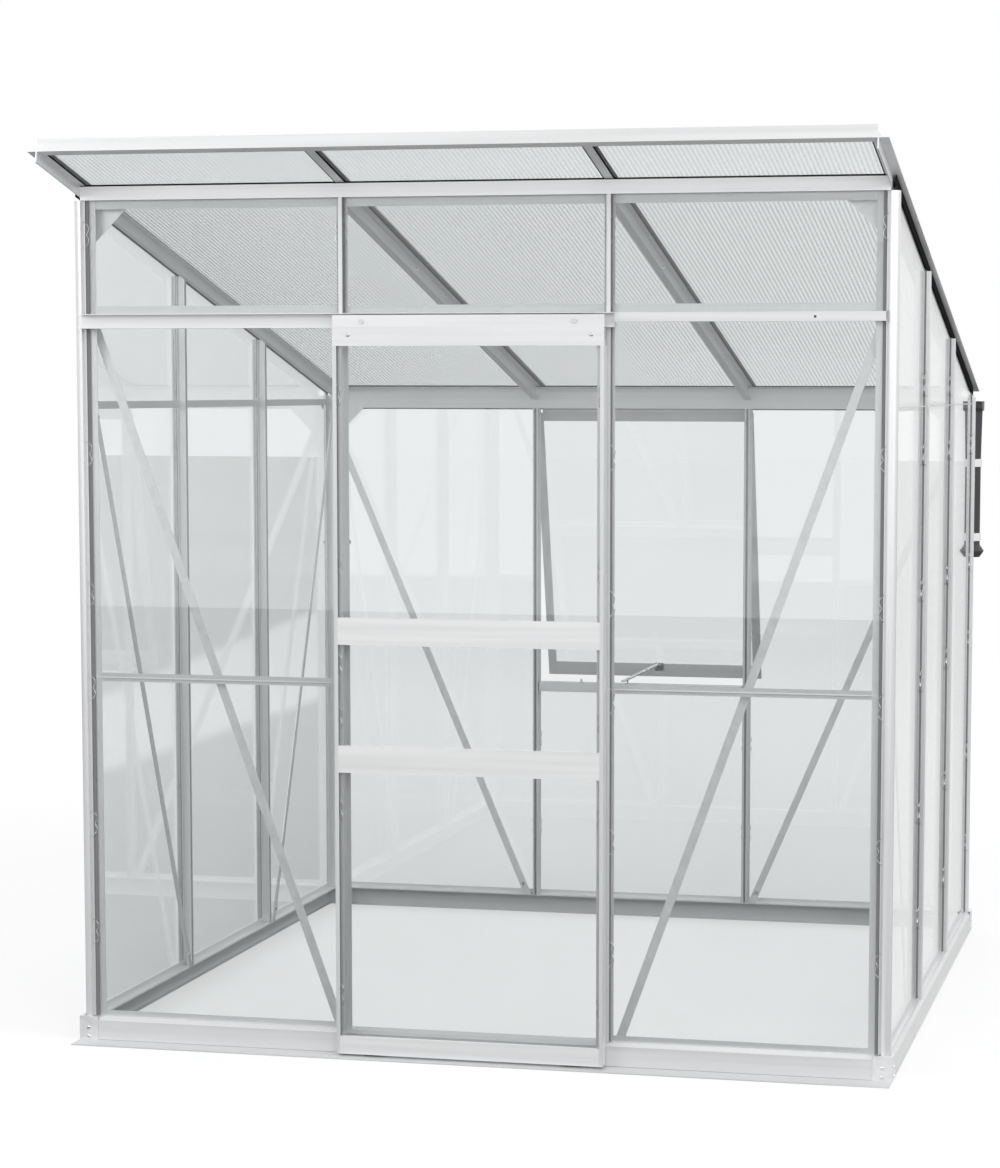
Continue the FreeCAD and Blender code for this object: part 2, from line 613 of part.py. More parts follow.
# Glass: every bay edge is set back from the stem of the bar or from the corner post
edge_bar = "(stem_half + glass_gap)"
post_glass = f"({HALF} - post_glass_gap)"
GLASS_BAYS = [(f"-{post_glass}", f"-({MULLION} + {edge_bar})"),
              (f"-({MULLION} - {edge_bar})", f"({MULLION} - {edge_bar})"),
              (f"({MULLION} + {edge_bar})", post_glass)]
girt_over = "(girt_height + girt_web)"
panes = []
for bay in (0, 2):
    left, right = GLASS_BAYS[bay]
    panes.append(pane(f"pane_front_{bay}_low", "front", left, right, SILL_TOP,
                      "front_girt_height - girt_web"))
    panes.append(pane(f"pane_front_{bay}_high", "front", left, right,
                      "front_girt_height + girt_web", "transom_mid - girt_web"))
node("glass_front", panes)
node("glass_clerestory", [pane(f"pane_clerestory_{bay}", "front", *GLASS_BAYS[bay],
                               "transom_mid + girt_web", f"{BEAM_LOW} + beam_groove")
                          for bay in range(3)])
both_sides("glass_sides", group_of("glass_right", [
    pane(f"pane_right_{bay}", "right", *GLASS_BAYS[bay], SILL_TOP, "girt_height - girt_web")
    for bay in range(3)]))
gables = []
for bay in range(3):
    left, right = GLASS_BAYS[bay]
    gable_gap = "(verge_sheet + glass_gap)"
    outline = [(left, girt_over), (right, girt_over), (right, roof_height(right, gable_gap)),
               (left, roof_height(left, gable_gap))]
    gables.append(wall_plate(f"pane_gable_{bay}", "right", outline, GLASS_OUT, "glass_sheet"))
both_sides("glass_gables", group_of("glass_gable_right", gables))
sill_web = "(window_sill_high - window_sill_low) / 2 + window_sill_low"
back_top = "eave_height + beam_groove"
node("glass_back", [
    pane("pane_back_0", "back", *GLASS_BAYS[0], SILL_TOP, back_top),
    pane("pane_back_1", "back", *GLASS_BAYS[1], SILL_TOP, f"{sill_web} - girt_web"),
    pane("pane_back_2", "back", *GLASS_BAYS[2], SILL_TOP, back_top),
])

# Window sill: a shelf with an inner apron, a flange for the lower pane and an outer lip
sill_bar = [
    ("-channel_inner", "window_sill_low"),
    ("-channel_inner", "window_sill_high"),
    (FLANGE_OUT, "window_sill_high"), (FLANGE_OUT, f"{sill_web} + girt_web"),
    ("bar_out - girt_lip", f"{sill_web} + girt_web"), ("bar_out - girt_lip", "window_sill_high"),
    ("bar_out", "window_sill_high"), ("bar_out", f"{sill_web} - girt_web"),
    (FLANGE_OUT, f"{sill_web} - girt_web"), (FLANGE_OUT, "window_sill_low"),
    ("flange_inner", "window_sill_low"), ("flange_inner", "window_sill_high - sill_sheet"),
    ("sill_sheet - channel_inner", "window_sill_high - sill_sheet"),
    ("sill_sheet - channel_inner", "window_sill_low"),
]
node("window_sill", bay_strips("window_sill", "back", [sill_bar], (1,)))

# Door track: an open channel with an upturned running edge and two fine grooves at the back
track_back = "(bar_out + track_wall)"
track_front = "(bar_out + track_depth)"
running_face = "(track_low + track_wall)"
groove_out = f"({track_back} - track_groove)"
track_outline = [
    ("bar_out", "track_low"), (track_front, "track_low"),
    (track_front, f"{running_face} + track_edge"),
    (f"{track_front} - track_wall", f"{running_face} + track_edge"),
    (f"{track_front} - track_wall", running_face), (track_back, running_face),
]
for step in (1, 2):
    low_edge = f"{running_face} + {step} * track_step"
    track_outline += [
        (track_back, low_edge), (groove_out, low_edge),
        (groove_out, f"{low_edge} + track_wall"), (track_back, f"{low_edge} + track_wall"),
    ]
track_outline += [
    (track_back, "track_high - track_wall"), (track_front, "track_high - track_wall"),
    (track_front, "track_high"), ("bar_out", "track_high"),
]
track_left = f"({HALF} + verge_web_in)"
node("door_track", [crossbar("door_track", "front", [track_outline], f"-{track_left}",
                             f"{track_left} + track_right")])
joint_lip = f"({GLASS_OUT} + girt_lip)"
head_bar = [
    ("bar_out", "head_bar_low"), ("head_bar_out", "head_bar_low"),
    ("head_bar_out", "track_high"), (joint_lip, "track_high"),
    (joint_lip, "track_high - track_wall"),
    ("head_bar_out - track_wall", "track_high - track_wall"),
    ("head_bar_out - track_wall", "head_bar_low + track_wall"),
    ("bar_out", "head_bar_low + track_wall"),
]
head_hole = doc.addObject("Part::Cylinder", "head_bar_hole")
head_hole.setExpression("Radius", link("head_hole_radius"))
head_hole.setExpression("Height", link("2 * track_wall"))
place(head_hole, "head_bar_right - head_hole_inset", f"-{HALF} - head_bar_out + track_wall",
      "head_bar_low + head_hole_rise", axis=X_AXIS, turn=90)
head_cover = doc.addObject("Part::Cut", "head_bar_drilled")
head_cover.Base = crossbar("head_bar_length", "front", [head_bar], "track_right",
                           "head_bar_right - track_right")
head_cover.Tool = head_hole
node("head_bar", [head_cover])


# Roof: everything below is drawn on the slope, `s` mm behind the front wall plane
def roof_place(thing, x, s):
    """Lay a piece on the slope with its near end at a distance down the slope."""
    place(thing, x, f"-{HALF} + ({s}) * cos({SLOPE})", f"front_height - ({s}) * sin({SLOPE})",
          axis=X_AXIS, turn_by=f"-{SLOPE}")


slope_front = f"(-roof_overhang / cos({SLOPE}))"
slope_back = f"((2 * {HALF} + roof_tail) / cos({SLOPE}))"
slope_length = f"({slope_back} - {slope_front})"


def roof_bar(name, x, loops, start, length):
    """A length of section that runs down the slope; corners are (across, above the sheet foot)."""
    body = profile(name, "XZ", loops, length)
    roof_place(body, x, start)
    return body


web_start = f"({slope_front} + fascia_wall)"
web_length = f"({slope_back} - {web_start})"
bar_section = [
    ("-bar_half", "-bar_sheet"), ("bar_half", "-bar_sheet"), ("bar_half", "0"),
    ("stem_half", "0"), ("stem_half", "roof_sheet"), ("bar_cap_half", "roof_sheet"),
    ("bar_cap_half", "roof_sheet + bar_sheet"), ("-bar_cap_half", "roof_sheet + bar_sheet"),
    ("-bar_cap_half", "roof_sheet"), ("-stem_half", "roof_sheet"), ("-stem_half", "0"),
    ("-bar_half", "0"),
]
lip_start = f"({slope_front} + fascia_lip)"
node("roof_bars", [roof_bar(f"roof_bar_{number}", side + MULLION, [bar_section], lip_start,
                            f"{slope_back} - {lip_start}")
                   for number, side in enumerate(("-", ""))])

# Verges: a deep web, a ledge and a cap round the sheet edge, a thin wing over the glass
verge_outer = "(verge_web_in + verge_web)"
verge_section = [
    ("verge_web_in", "-verge_drop"), (verge_outer, "-verge_drop"),
    (verge_outer, "-verge_sheet"), ("verge_wing", "-verge_sheet"), ("verge_wing", "0"),
    (verge_outer, "0"), (verge_outer, "roof_sheet + verge_sheet"),
    ("verge_web_in - verge_cap", "roof_sheet + verge_sheet"),
    ("verge_web_in - verge_cap", "roof_sheet"), ("verge_web_in", "roof_sheet"),
    ("verge_web_in", "0"), ("verge_web_in - verge_ledge", "0"),
    ("verge_web_in - verge_ledge", "-verge_sheet"), ("verge_web_in", "-verge_sheet"),
]
both_sides("verges", roof_bar("verge_right", HALF, [verge_section], slope_front, slope_length))

# Fascia: an upstand across the front end of the sheets with a lip under and over them
fascia_section = [
    ("0", "-verge_sheet"), ("fascia_lip", "-verge_sheet"), ("fascia_lip", "0"),
    ("fascia_wall", "0"), ("fascia_wall", "roof_sheet"), ("fascia_cap", "roof_sheet"),
    ("fascia_cap", "roof_sheet + fascia_wall"), ("fascia_wall", "roof_sheet + fascia_wall"),
    ("fascia_wall", "fascia_rise"), ("0", "fascia_rise"),
]
fascia_half = f"({HALF} + verge_web_in)"
fascia_bar = profile("fascia", "YZ", [fascia_section], f"2 * {fascia_half}")
roof_place(fascia_bar, f"-{fascia_half}", slope_front)
fascia_gap = f"({HALF} + verge_web_in - verge_cap)"
ledge_gap = f"({HALF} + verge_web_in - verge_ledge)"
notches = []
for number, side in enumerate((1, -1)):
    for level, (inner, low, high) in enumerate((
            (ledge_gap, "-verge_sheet", "0"),
            (fascia_gap, "roof_sheet", "roof_sheet + verge_sheet"))):
        notch = box(f"fascia_notch_{number}_{level}", "verge_cap", "2 * fascia_lip",
                    f"({high}) - ({low})")
        x = inner if side > 0 else f"-({inner} + verge_cap)"
        place(notch, x, f"-{HALF} + {slope_front} * cos({SLOPE}) + ({low}) * sin({SLOPE})"
              f" - fascia_lip * cos({SLOPE}) * 0.5",
              f"front_height - {slope_front} * sin({SLOPE}) + ({low}) * cos({SLOPE})"
              f" + fascia_lip * sin({SLOPE}) * 0.5", axis=X_AXIS, turn_by=f"-{SLOPE}")
        notches.append(notch)
notch_group = doc.addObject("Part::MultiFuse", "fascia_notches")
notch_group.Shapes = notches
fascia = doc.addObject("Part::Cut", "fascia_cut")
fascia.Base = fascia_bar
fascia.Tool = notch_group
node("fascia", [fascia])

# Roof sheets: one in each bay, resting on the flanges and closed by the fascia
sheet_edges = [(f"-({HALF} + verge_web_in - sheet_gap)", f"-({MULLION} + {edge_bar})"),
               (f"-({MULLION} - {edge_bar})", f"({MULLION} - {edge_bar})"),
               (f"({MULLION} + {edge_bar})", f"({HALF} + verge_web_in - sheet_gap)")]
sheets = []
for number, (left, right) in enumerate(sheet_edges):
    slab = [(left, "0"), (right, "0"), (right, "roof_sheet"), (left, "roof_sheet")]
    sheets.append(roof_bar(f"roof_sheet_{number}", "0", [slab], web_start, web_length))
node("roof_sheets", sheets)

# Black seals: beside the roof bars, along the verge ledges and on the verge webs
seals = []
bar_clear = "(bar_half + roof_seal_width)"
seal_ends = f"({ledge_gap} - roof_seal_width)"
seal_runs = [(f"({MULLION} - {bar_clear})", f"({MULLION} - bar_half)"),
             (f"({MULLION} + bar_half)", f"({MULLION} + {bar_clear})"), (seal_ends, ledge_gap)]


def seal_pair(left, right, low, high, start, end):
    """A strip down the slope on the right half of the roof and its twin on the left."""
    for near, far in ((left, right), (f"-{right}", f"-{left}")):
        strip = [(near, low), (far, low), (far, high), (near, high)]
        seals.append(roof_bar(f"roof_seal_{len(seals)}", "0", [strip], start,
                              f"{end} - {start}"))


for left, right in seal_runs:
    seal_pair(left, right, "-roof_seal_sheet", "0", lip_start, slope_back)
web_seal_start = f"((post_flange + verge_drop * sin({SLOPE})) / cos({SLOPE}))"
seal_pair(f"({HALF} + {verge_outer})", f"({HALF} + {verge_outer} + seal_sheet)", "-verge_drop",
          "-verge_sheet", web_seal_start, f"(2 * {HALF} / cos({SLOPE}))")

# One seal on each rail, notched under the roof bars, their seals and the verge ledges
level = "-verge_sheet"
half_seal = [(fascia_half, "-rail_seal_sheet"), (fascia_half, level)]
for edge, after in ((ledge_gap, "-roof_seal_sheet"), (seal_ends, "0"),
                    (f"({MULLION} + {bar_clear})", "-roof_seal_sheet"),
                    (f"({MULLION} + bar_half)", "-bar_sheet"),
                    (f"({MULLION} - bar_half)", "-roof_seal_sheet"),
                    (f"({MULLION} - {bar_clear})", "0")):
    half_seal += [(edge, level), (edge, after)]
    level = after
rail_seal = half_seal + [(f"-{x}", up) for x, up in reversed(half_seal)]
for start in (f"(-beam_out / cos({SLOPE}))", f"((2 * {HALF} + {lip_in}) / cos({SLOPE}))"):
    seals.append(roof_bar(f"rail_seal_{len(seals)}", "0", [rail_seal], f"{start} + bar_sheet",
                          "rail_seal_width"))
node("roof_seals", seals)


# Rafters: sections under the roof, cut square between the front beam and the eave rail
def rafter(name, x, depth, front_gap, outer):
    """One rafter with its outer outline, trimmed to the front gap and to the eave rail."""
    inner = [
        ("rafter_half", "-bar_sheet"), ("rafter_half", "-bar_sheet - rafter_sheet"),
        ("rafter_web", "-bar_sheet - rafter_sheet"),
        ("rafter_web", f"-({depth}) + rafter_sheet"),
        ("rafter_half", f"-({depth}) + rafter_sheet"), ("rafter_half", f"-({depth})"),
    ]
    loop = [(f"-({a})", up) for a, up in inner]
    if outer == "flanges":
        loop += reversed(inner)
    else:
        loop += [("rafter_web", f"-({depth})"), ("rafter_web", "-bar_sheet")]
    rough = roof_bar(name + "_rough", x, [loop], "0", f"(2 * {HALF}) / cos({SLOPE})")
    clear = box(name + "_between", "4 * rafter_half",
                f"2 * {HALF} - channel_inner - {front_gap}", "2 * front_height")
    place(clear, f"{x} - 2 * rafter_half", f"{front_gap} - {HALF}", "0")
    trimmed = doc.addObject("Part::Common", name)
    trimmed.Base = rough
    trimmed.Tool = clear
    return trimmed


node("rafters", [rafter(f"rafter_{number}", side + MULLION, "rafter_depth", "channel_inner",
                        "flanges")
                 for number, side in enumerate(("-", ""))])
both_sides("end_rafters", rafter("end_rafter", f"({HALF} - end_rafter_inset)",
                                 "end_rafter_depth", "(channel_inner + gusset_sheet)", "web"))

# Gussets: triangular plates on the inner faces of the front beam and the eave rail
gussets = []
corner = f"({HALF} - channel_inner - brace_sheet)"
inner_face = "-channel_inner"
for wall, low in (("front", BEAM_LOW), ("back", "eave_height")):
    top = f"({low} + gusset_lap_{wall})"
    for side in ("-", ""):
        outline = [(f"{side}{corner}", top), (f"{side}({corner} - gusset_leg)", top),
                   (f"{side}{corner}", f"{top} - gusset_leg")]
        if side == "":
            outline.reverse()
        gussets.append(wall_plate(f"gusset_{len(gussets)}", wall, outline, inner_face,
                                  "gusset_sheet"))
node("gussets", gussets)

# Braces: flat bars from the corner posts to the plinth beside the glazing bars, with bolts
foot_point = f"({MULLION} + brace_foot)"
head_point = f"({HALF} - brace_inset)"
brace_out = "(-channel_inner)"
back_out = "(-channel_inner - gusset_sheet)"
bolts = []


def hex_head(x, y, z, turn):
    """A hexagon head; it stands on a face and points along its own axis."""
    head = doc.addObject("Part::Prism", f"bolt_{len(bolts)}")
    head.Polygon = 6
    head.setExpression("Circumradius", link("bolt_radius"))
    head.setExpression("Height", link("bolt_height"))
    head.Placement = FreeCAD.Placement(FreeCAD.Vector(0, 0, 0), turn)
    head.setExpression("Placement.Base.x", link(x))
    head.setExpression("Placement.Base.y", link(f"({y}) + {SHIFT}"))
    head.setExpression("Placement.Base.z", link(z))
    bolts.append(head)


def braces(label, wall, height, out):
    """Two braces of one wall and the bolt heads at their ends."""
    bars = []
    for side in ("-", ""):
        foot = (side + foot_point, "plinth_height")
        head = (side + head_point, height)
        bars.append(flat_bar(f"{label}_{len(bars)}", wall, foot, head, out))
        run = f"({side}{head_point} - {side}{foot_point})"
        rise = f"({height} - plinth_height)"
        size = f"sqrt({run}^2 + {rise}^2)"
        turn = FreeCAD.Rotation(Z_AXIS, WALL_TURN[wall]).multiply(FreeCAD.Rotation(X_AXIS, -90))
        for end, step in ((foot, "2 * bolt_setback"), (head, "-bolt_setback")):
            along = f"{end[0]} + {step} * {run} / {size}"
            x, y = wall_point(wall, along, f"{out} - brace_sheet")
            hex_head(x, y, f"{end[1]} + {step} * {rise} / {size}", turn)
    return bars


node("braces_front", braces("brace_front", "front", "front_brace_height", brace_out))
node("braces_back", braces("brace_back", "back", "back_brace_height", back_out))
both_sides("braces_sides", group_of("braces_right", braces("brace_right", "right",
                                                           "side_brace_height", brace_out)))
right_bolts = group_of("bolts_right", bolts[-4:])
bolts = bolts[:-4] + [right_bolts, mirrored("bolts_left", right_bolts)]
for side in ("-", ""):
    for run in ("rafter_bolt_front", "rafter_bolt_back"):
        hex_head(f"{side}{MULLION} + rafter_web",
                 f"{run} - {HALF} - rafter_depth / 2 * sin({SLOPE})",
                 roof_height(f"{run} - {HALF}", "rafter_depth * 0.5"),
                 FreeCAD.Rotation(Y_AXIS, 90))
node("frame_bolts", bolts)

# Gutter: a closed-ended trough with rounded lower corners behind the eave
trough = [
    ("beam_out", "gutter_high"), ("beam_out", "gutter_high - gutter_wall"),
    ("gutter_near", "gutter_high - gutter_wall"), ("gutter_near", "gutter_low + gutter_bend"),
    ("gutter_near + gutter_bend", "gutter_low"), ("gutter_far - gutter_bend", "gutter_low"),
    ("gutter_far", "gutter_low + gutter_bend"), ("gutter_far", "gutter_high"),
]
gutter_body = crossbar("gutter_body", "back", [trough], "-gutter_end", "2 * gutter_end")
hollow = [
    ("gutter_near + gutter_wall", "gutter_high + gutter_wall"),
    ("gutter_near + gutter_wall", "gutter_low + gutter_bend + gutter_wall / 2"),
    ("gutter_near + gutter_bend + gutter_wall / 2", "gutter_low + gutter_wall"),
    ("gutter_far - gutter_bend - gutter_wall / 2", "gutter_low + gutter_wall"),
    ("gutter_far - gutter_wall", "gutter_low + gutter_bend + gutter_wall / 2"),
    ("gutter_far - gutter_wall", "gutter_high + gutter_wall"),
]
gutter_space = crossbar("gutter_space", "back", [hollow], "gutter_wall - gutter_end",
                        "2 * (gutter_end - gutter_wall)")
drops = [gutter_space]
pipe_x = f"({HALF} + pipe_place)"
pipe_y = f"({HALF} + pipe_out)"
for side in ("-", ""):
    drain = doc.addObject("Part::Cylinder", f"gutter_drain_{len(drops)}")
    drain.setExpression("Radius", link("pipe_radius - pipe_wall"))
    drain.setExpression("Height", link("4 * gutter_wall"))
    place(drain, side + pipe_x, pipe_y, "gutter_low - gutter_wall")
    drops.append(drain)
gutter_cuts = doc.addObject("Part::MultiFuse", "gutter_cuts")
gutter_cuts.Shapes = drops
gutter = doc.addObject("Part::Cut", "gutter_cut")
gutter.Base = gutter_body
gutter.Tool = gutter_cuts
node("gutter", [gutter])

# Downpipes: a tapered outlet, a round pipe and a flared mouth, turned in one piece
pipe_outline = [
    ("funnel_radius", "gutter_low"), ("pipe_radius", "funnel_low"),
    ("pipe_radius", "pipe_low"), ("flare_radius", "(pipe_low + flare_low) / 2"),
    ("pipe_radius", "flare_low"), ("pipe_radius - pipe_wall", "flare_low"),
    ("flare_radius - pipe_wall", "(pipe_low + flare_low) / 2"),
    ("pipe_radius - pipe_wall", "pipe_low + pipe_wall"),
    ("pipe_radius - pipe_wall", "gutter_low"),
]
pipe_right = turned("downpipe_right", pipe_outline)
place(pipe_right, pipe_x, pipe_y, "0")
both_sides("downpipes", pipe_right)

# Pipe clips: a band round the pipe with a foot on the rear post
clips = []
for side in ("-", ""):
    for low in ("clip_low", "clip_high"):
        tag = f"clip_{len(clips)}"
        ring = doc.addObject("Part::Cylinder", tag + "_ring")
        ring.setExpression("Radius", link("pipe_radius + clip_band"))
        ring.setExpression("Height", link("clip_height"))
        place(ring, side + pipe_x, pipe_y, low)
        foot = box(tag + "_foot", "clip_width", f"pipe_out - {FLANGE_OUT}", "clip_height")
        foot_x = f"({HALF} + clip_side)"
        x = f"-{foot_x}" if side == "-" else f"{foot_x} - clip_width"
        place(foot, x, f"{HALF} + {FLANGE_OUT}", low)
        whole = doc.addObject("Part::Fuse", tag + "_whole")
        whole.Base = ring
        whole.Tool = foot
        bore = doc.addObject("Part::Cylinder", tag + "_bore")
        bore.setExpression("Radius", link("pipe_radius + clip_fit"))
        bore.setExpression("Height", link("3 * clip_height"))
        place(bore, side + pipe_x, pipe_y, f"{low} - clip_height")
        clip = doc.addObject("Part::Cut", tag)
        clip.Base = whole
        clip.Tool = bore
        clips.append(clip)
node("pipe_clips", clips)

# Sliding door: two stiles, four rails and three panes in a plane in front of the wall
glass_line = "(door_front - door_glass_in)"
stile_half = [
    ("0", "door_front"), ("stile_lip", "door_front"),
    ("stile_lip", "door_front - stile_sheet"), ("stile_web", "door_front - stile_sheet"),
    ("stile_web", glass_line), ("stile_flange", glass_line),
    ("stile_flange", f"{glass_line} - stile_sheet"),
    ("stile_web", f"{glass_line} - stile_sheet"), ("stile_web", "door_back + stile_sheet"),
    ("stile_return", "door_back + stile_sheet"), ("stile_return", "door_back"),
    ("0", "door_back"),
]
for label, edge, sign in (("door_stile_left", "door_left", "+"),
                          ("door_stile_right", "door_right", "-")):
    outline = [(f"{edge} {sign} {a}", out) for a, out in stile_half]
    node(label, [upright(label, "front", [outline], "0", "door_low",
                         "door_head_low - door_low")])

pane_front = f"({glass_line} + glass_sheet)"
rail_wall = "door_rail_wall"


def door_rail(label, low, high):
    """A hollow rail between the stile lips, in front of the glass."""
    outer = [(pane_front, low), ("door_front", low), ("door_front", high), (pane_front, high)]
    hole = [(f"{pane_front} + {rail_wall}", f"{low} + {rail_wall}"),
            (f"door_front - {rail_wall}", f"{low} + {rail_wall}"),
            (f"door_front - {rail_wall}", f"{high} - {rail_wall}"),
            (f"{pane_front} + {rail_wall}", f"{high} - {rail_wall}")]
    node(label, [crossbar(label, "front", [outer, hole], "door_left + stile_lip",
                          "door_right - door_left - 2 * stile_lip")])


door_rail("door_rail_lower", "door_rail_low", "(door_rail_low + door_rail_height)")
door_rail("door_rail_upper", "door_rail_high", "(door_rail_high + door_rail_height)")

foot_ledge = "(door_foot_high - door_pane_lap)"
foot_outer = [
    (pane_front, "door_low"), ("door_front", "door_low"), ("door_front", "door_foot_high"),
    (pane_front, "door_foot_high"), (pane_front, foot_ledge), (glass_line, foot_ledge),
    (glass_line, f"{foot_ledge} - {rail_wall}"), (pane_front, f"{foot_ledge} - {rail_wall}"),
]
foot_hole = [
    (f"{pane_front} + {rail_wall}", f"door_low + {rail_wall}"),
    (f"door_front - {rail_wall}", f"door_low + {rail_wall}"),
    (f"door_front - {rail_wall}", f"door_foot_high - {rail_wall}"),
    (f"{pane_front} + {rail_wall}", f"door_foot_high - {rail_wall}"),
]
node("door_rail_bottom", [crossbar("door_rail_bottom", "front", [foot_outer, foot_hole],
                                   "door_left + stile_lip",
                                   "door_right - door_left - 2 * stile_lip")])

# Door head: a hollow rail under the track and a plate in front of it for the roller bolts
head_high = "(track_low - door_head_gap)"
head_back = f"({glass_line} - 2 * stile_sheet)"
plate_front = "(door_front - door_head_step)"
plate_back = "(door_front - door_head_step - stile_sheet)"
lap_high = "(door_head_low + door_pane_lap)"
head_outer = [
    (head_back, "door_head_low"), (glass_line, "door_head_low"), (glass_line, lap_high),
    (pane_front, lap_high), (pane_front, "door_head_low"), ("door_front", "door_head_low"),
    ("door_front", "track_low"), (plate_front, "track_low + door_head_step"),
    (plate_front, "door_top"), (plate_back, "door_top"), (plate_back, head_high),
    (head_back, head_high),
]
head_hole = [
    (f"{head_back} + {rail_wall}", f"{lap_high} + {rail_wall}"),
    (f"door_front - {rail_wall}", f"{lap_high} + {rail_wall}"),
    (f"door_front - {rail_wall}", f"{head_high} - {rail_wall}"),
    (f"{head_back} + {rail_wall}", f"{head_high} - {rail_wall}"),
]
head_rail = crossbar("door_head_rail", "front", [head_outer, head_hole], "door_left",
                     "door_right - door_left")
axle_height = f"({running_face} + roller_gap + roller_radius)"
roller_back = f"({track_back} + (track_depth - 2 * track_wall - roller_width) / 2)"
axle_holes = []
for name, spot in (("axle_hole_left", "roller_left"), ("axle_hole_right", "roller_right")):
    hole = doc.addObject("Part::Cylinder", name)
    hole.setExpression("Radius", link("axle_radius + axle_fit"))
    hole.setExpression("Height", link("4 * stile_sheet"))
    place(hole, spot, f"-{HALF} - {plate_back} + stile_sheet", axle_height,
          axis=X_AXIS, turn=90)
    axle_holes.append(hole)
hole_pair = doc.addObject("Part::MultiFuse", "axle_holes")
hole_pair.Shapes = axle_holes
head_cut = doc.addObject("Part::Cut", "door_head_cut")
head_cut.Base = head_rail
head_cut.Tool = hole_pair
node("door_head", [head_cut])

lap = "door_pane_lap"
pane_left = "(door_left + stile_web + pane_gap)"
pane_width = "(door_right - door_left - 2 * stile_web - 2 * pane_gap)"
door_panes = []
for low, high in ((foot_ledge, f"(door_rail_low + {lap})"),
                  (f"(door_rail_low + door_rail_height - {lap})", f"(door_rail_high + {lap})"),
                  (f"(door_rail_high + door_rail_height - {lap})", lap_high)):
    glass = box(f"door_pane_{len(door_panes)}", pane_width, "glass_sheet", f"{high} - {low}")
    place(glass, pane_left, f"-{HALF} - {pane_front}", low)
    door_panes.append(glass)
node("door_panes", door_panes)

# Rollers: grooved wheels that run on the lower edge of the track, on shouldered bolts
roller_outline = [
    ("axle_radius + axle_fit", "0"), ("roller_radius", "0"),
    ("roller_radius", "roller_land"), ("roller_radius - roller_groove", "roller_width / 2"),
    ("roller_radius", "roller_width - roller_land"), ("roller_radius", "roller_width"),
    ("axle_radius + axle_fit", "roller_width"),
]
axle_length = f"({plate_front} - {roller_back})"
axle_outline = [
    ("0", "0"), ("axle_radius", "0"), ("axle_radius", axle_length),
    ("axle_head", axle_length), ("axle_head", f"{axle_length} + axle_head_height"),
    ("0", f"{axle_length} + axle_head_height"),
]
axles = []
for label, spot in (("door_roller_left", "roller_left"), ("door_roller_right", "roller_right")):
    wheel = turned(label, roller_outline)
    place(wheel, spot, f"-{HALF} - {roller_back}", axle_height, axis=X_AXIS, turn=90)
    node(label, [wheel])
    axle = turned(label + "_axle", axle_outline)
    place(axle, spot, f"-{HALF} - {roller_back}", axle_height, axis=X_AXIS, turn=90)
    axles.append(axle)
node("door_axles", axles)

# Door guides: plastic glides behind the bottom rail that ride along the plinth face
guides = []
guide_back = "(plinth_out + plinth_bead / 2 + guide_gap)"
for spot in ("door_left + guide_inset", "door_right - guide_inset - guide_width"):
    block = box(f"door_guide_{len(guides)}", "guide_width", f"{pane_front} - {guide_back}",
                "guide_height")
    place(block, spot, f"-{HALF} - {pane_front}", "door_low + plinth_sheet")
    guides.append(block)
node("door_guides", guides)


# Window: hung from a round bead; its pieces are drawn closed and turned open about the bead
def window_place(thing, x, out="0", up="0"):
    """Put a piece of the window at a point of the window's own plane, opened outwards."""
    y = f"{HALF} + hinge_out + ({out}) * cos({OPENING}) - ({up}) * sin({OPENING})"
    z = f"hinge_height + ({out}) * sin({OPENING}) + ({up}) * cos({OPENING})"
    place(thing, x, y, z, axis=X_AXIS, turn_by=OPENING)


window_glass = "(window_base + glass_sheet)"
window_deep = f"({window_glass} + window_lip)"
foot_level = "(-window_length)"
stile_outline = [
    ("0", "0"), ("window_stile", "0"), ("window_stile", "window_base"),
    ("window_web", "window_base"), ("window_web", window_glass),
    ("window_lap", window_glass), ("window_lap", window_deep), ("0", window_deep),
]
stiles = []
for side in ("-", ""):
    flip = "" if side == "-" else "-"
    outline = [(f"{side}window_half + {flip}({a})" if flip == "" else
                f"window_half - ({a})", out) for a, out in stile_outline]
    bar = profile(f"window_stile_{len(stiles)}", "XY", [outline],
                  "window_length - window_neck_length")
    window_place(bar, "0", "0", "-window_length")
    stiles.append(bar)
node("window_stiles", stiles)

inner_span = "(2 * (window_half - window_stile))"
head_top = "(-window_neck_length)"
top_outline = [
    ("0", "-window_head"), ("window_base", "-window_head"),
    ("window_base", f"{head_top} - window_web"), (window_glass, f"{head_top} - window_web"),
    (window_glass, f"{head_top} - window_lap"), (window_deep, f"{head_top} - window_lap"),
    (window_deep, head_top), ("window_neck", head_top), ("window_neck", "0"),
    ("-window_neck", "0"), ("-window_neck", f"{head_top} - window_web"),
    ("0", f"{head_top} - window_web"),
]


def hinge_cylinder(name, radius, length):
    """A round bar along the hinge line of the window."""
    bar = doc.addObject("Part::Cylinder", name)
    bar.setExpression("Radius", link(radius))
    bar.setExpression("Height", link(length))
    place(bar, f"-({length}) / 2", f"{HALF} + hinge_out", "hinge_height", axis=Y_AXIS, turn=90)
    return bar


top_flat = profile("window_top_flat", "YZ", [top_outline], inner_span)
window_place(top_flat, "-(window_half - window_stile)")
top_rail = doc.addObject("Part::Fuse", "window_head_rail")
top_rail.Base = top_flat
top_rail.Tool = hinge_cylinder("window_bead", "bead_radius", inner_span)
node("window_head_rail", [top_rail])

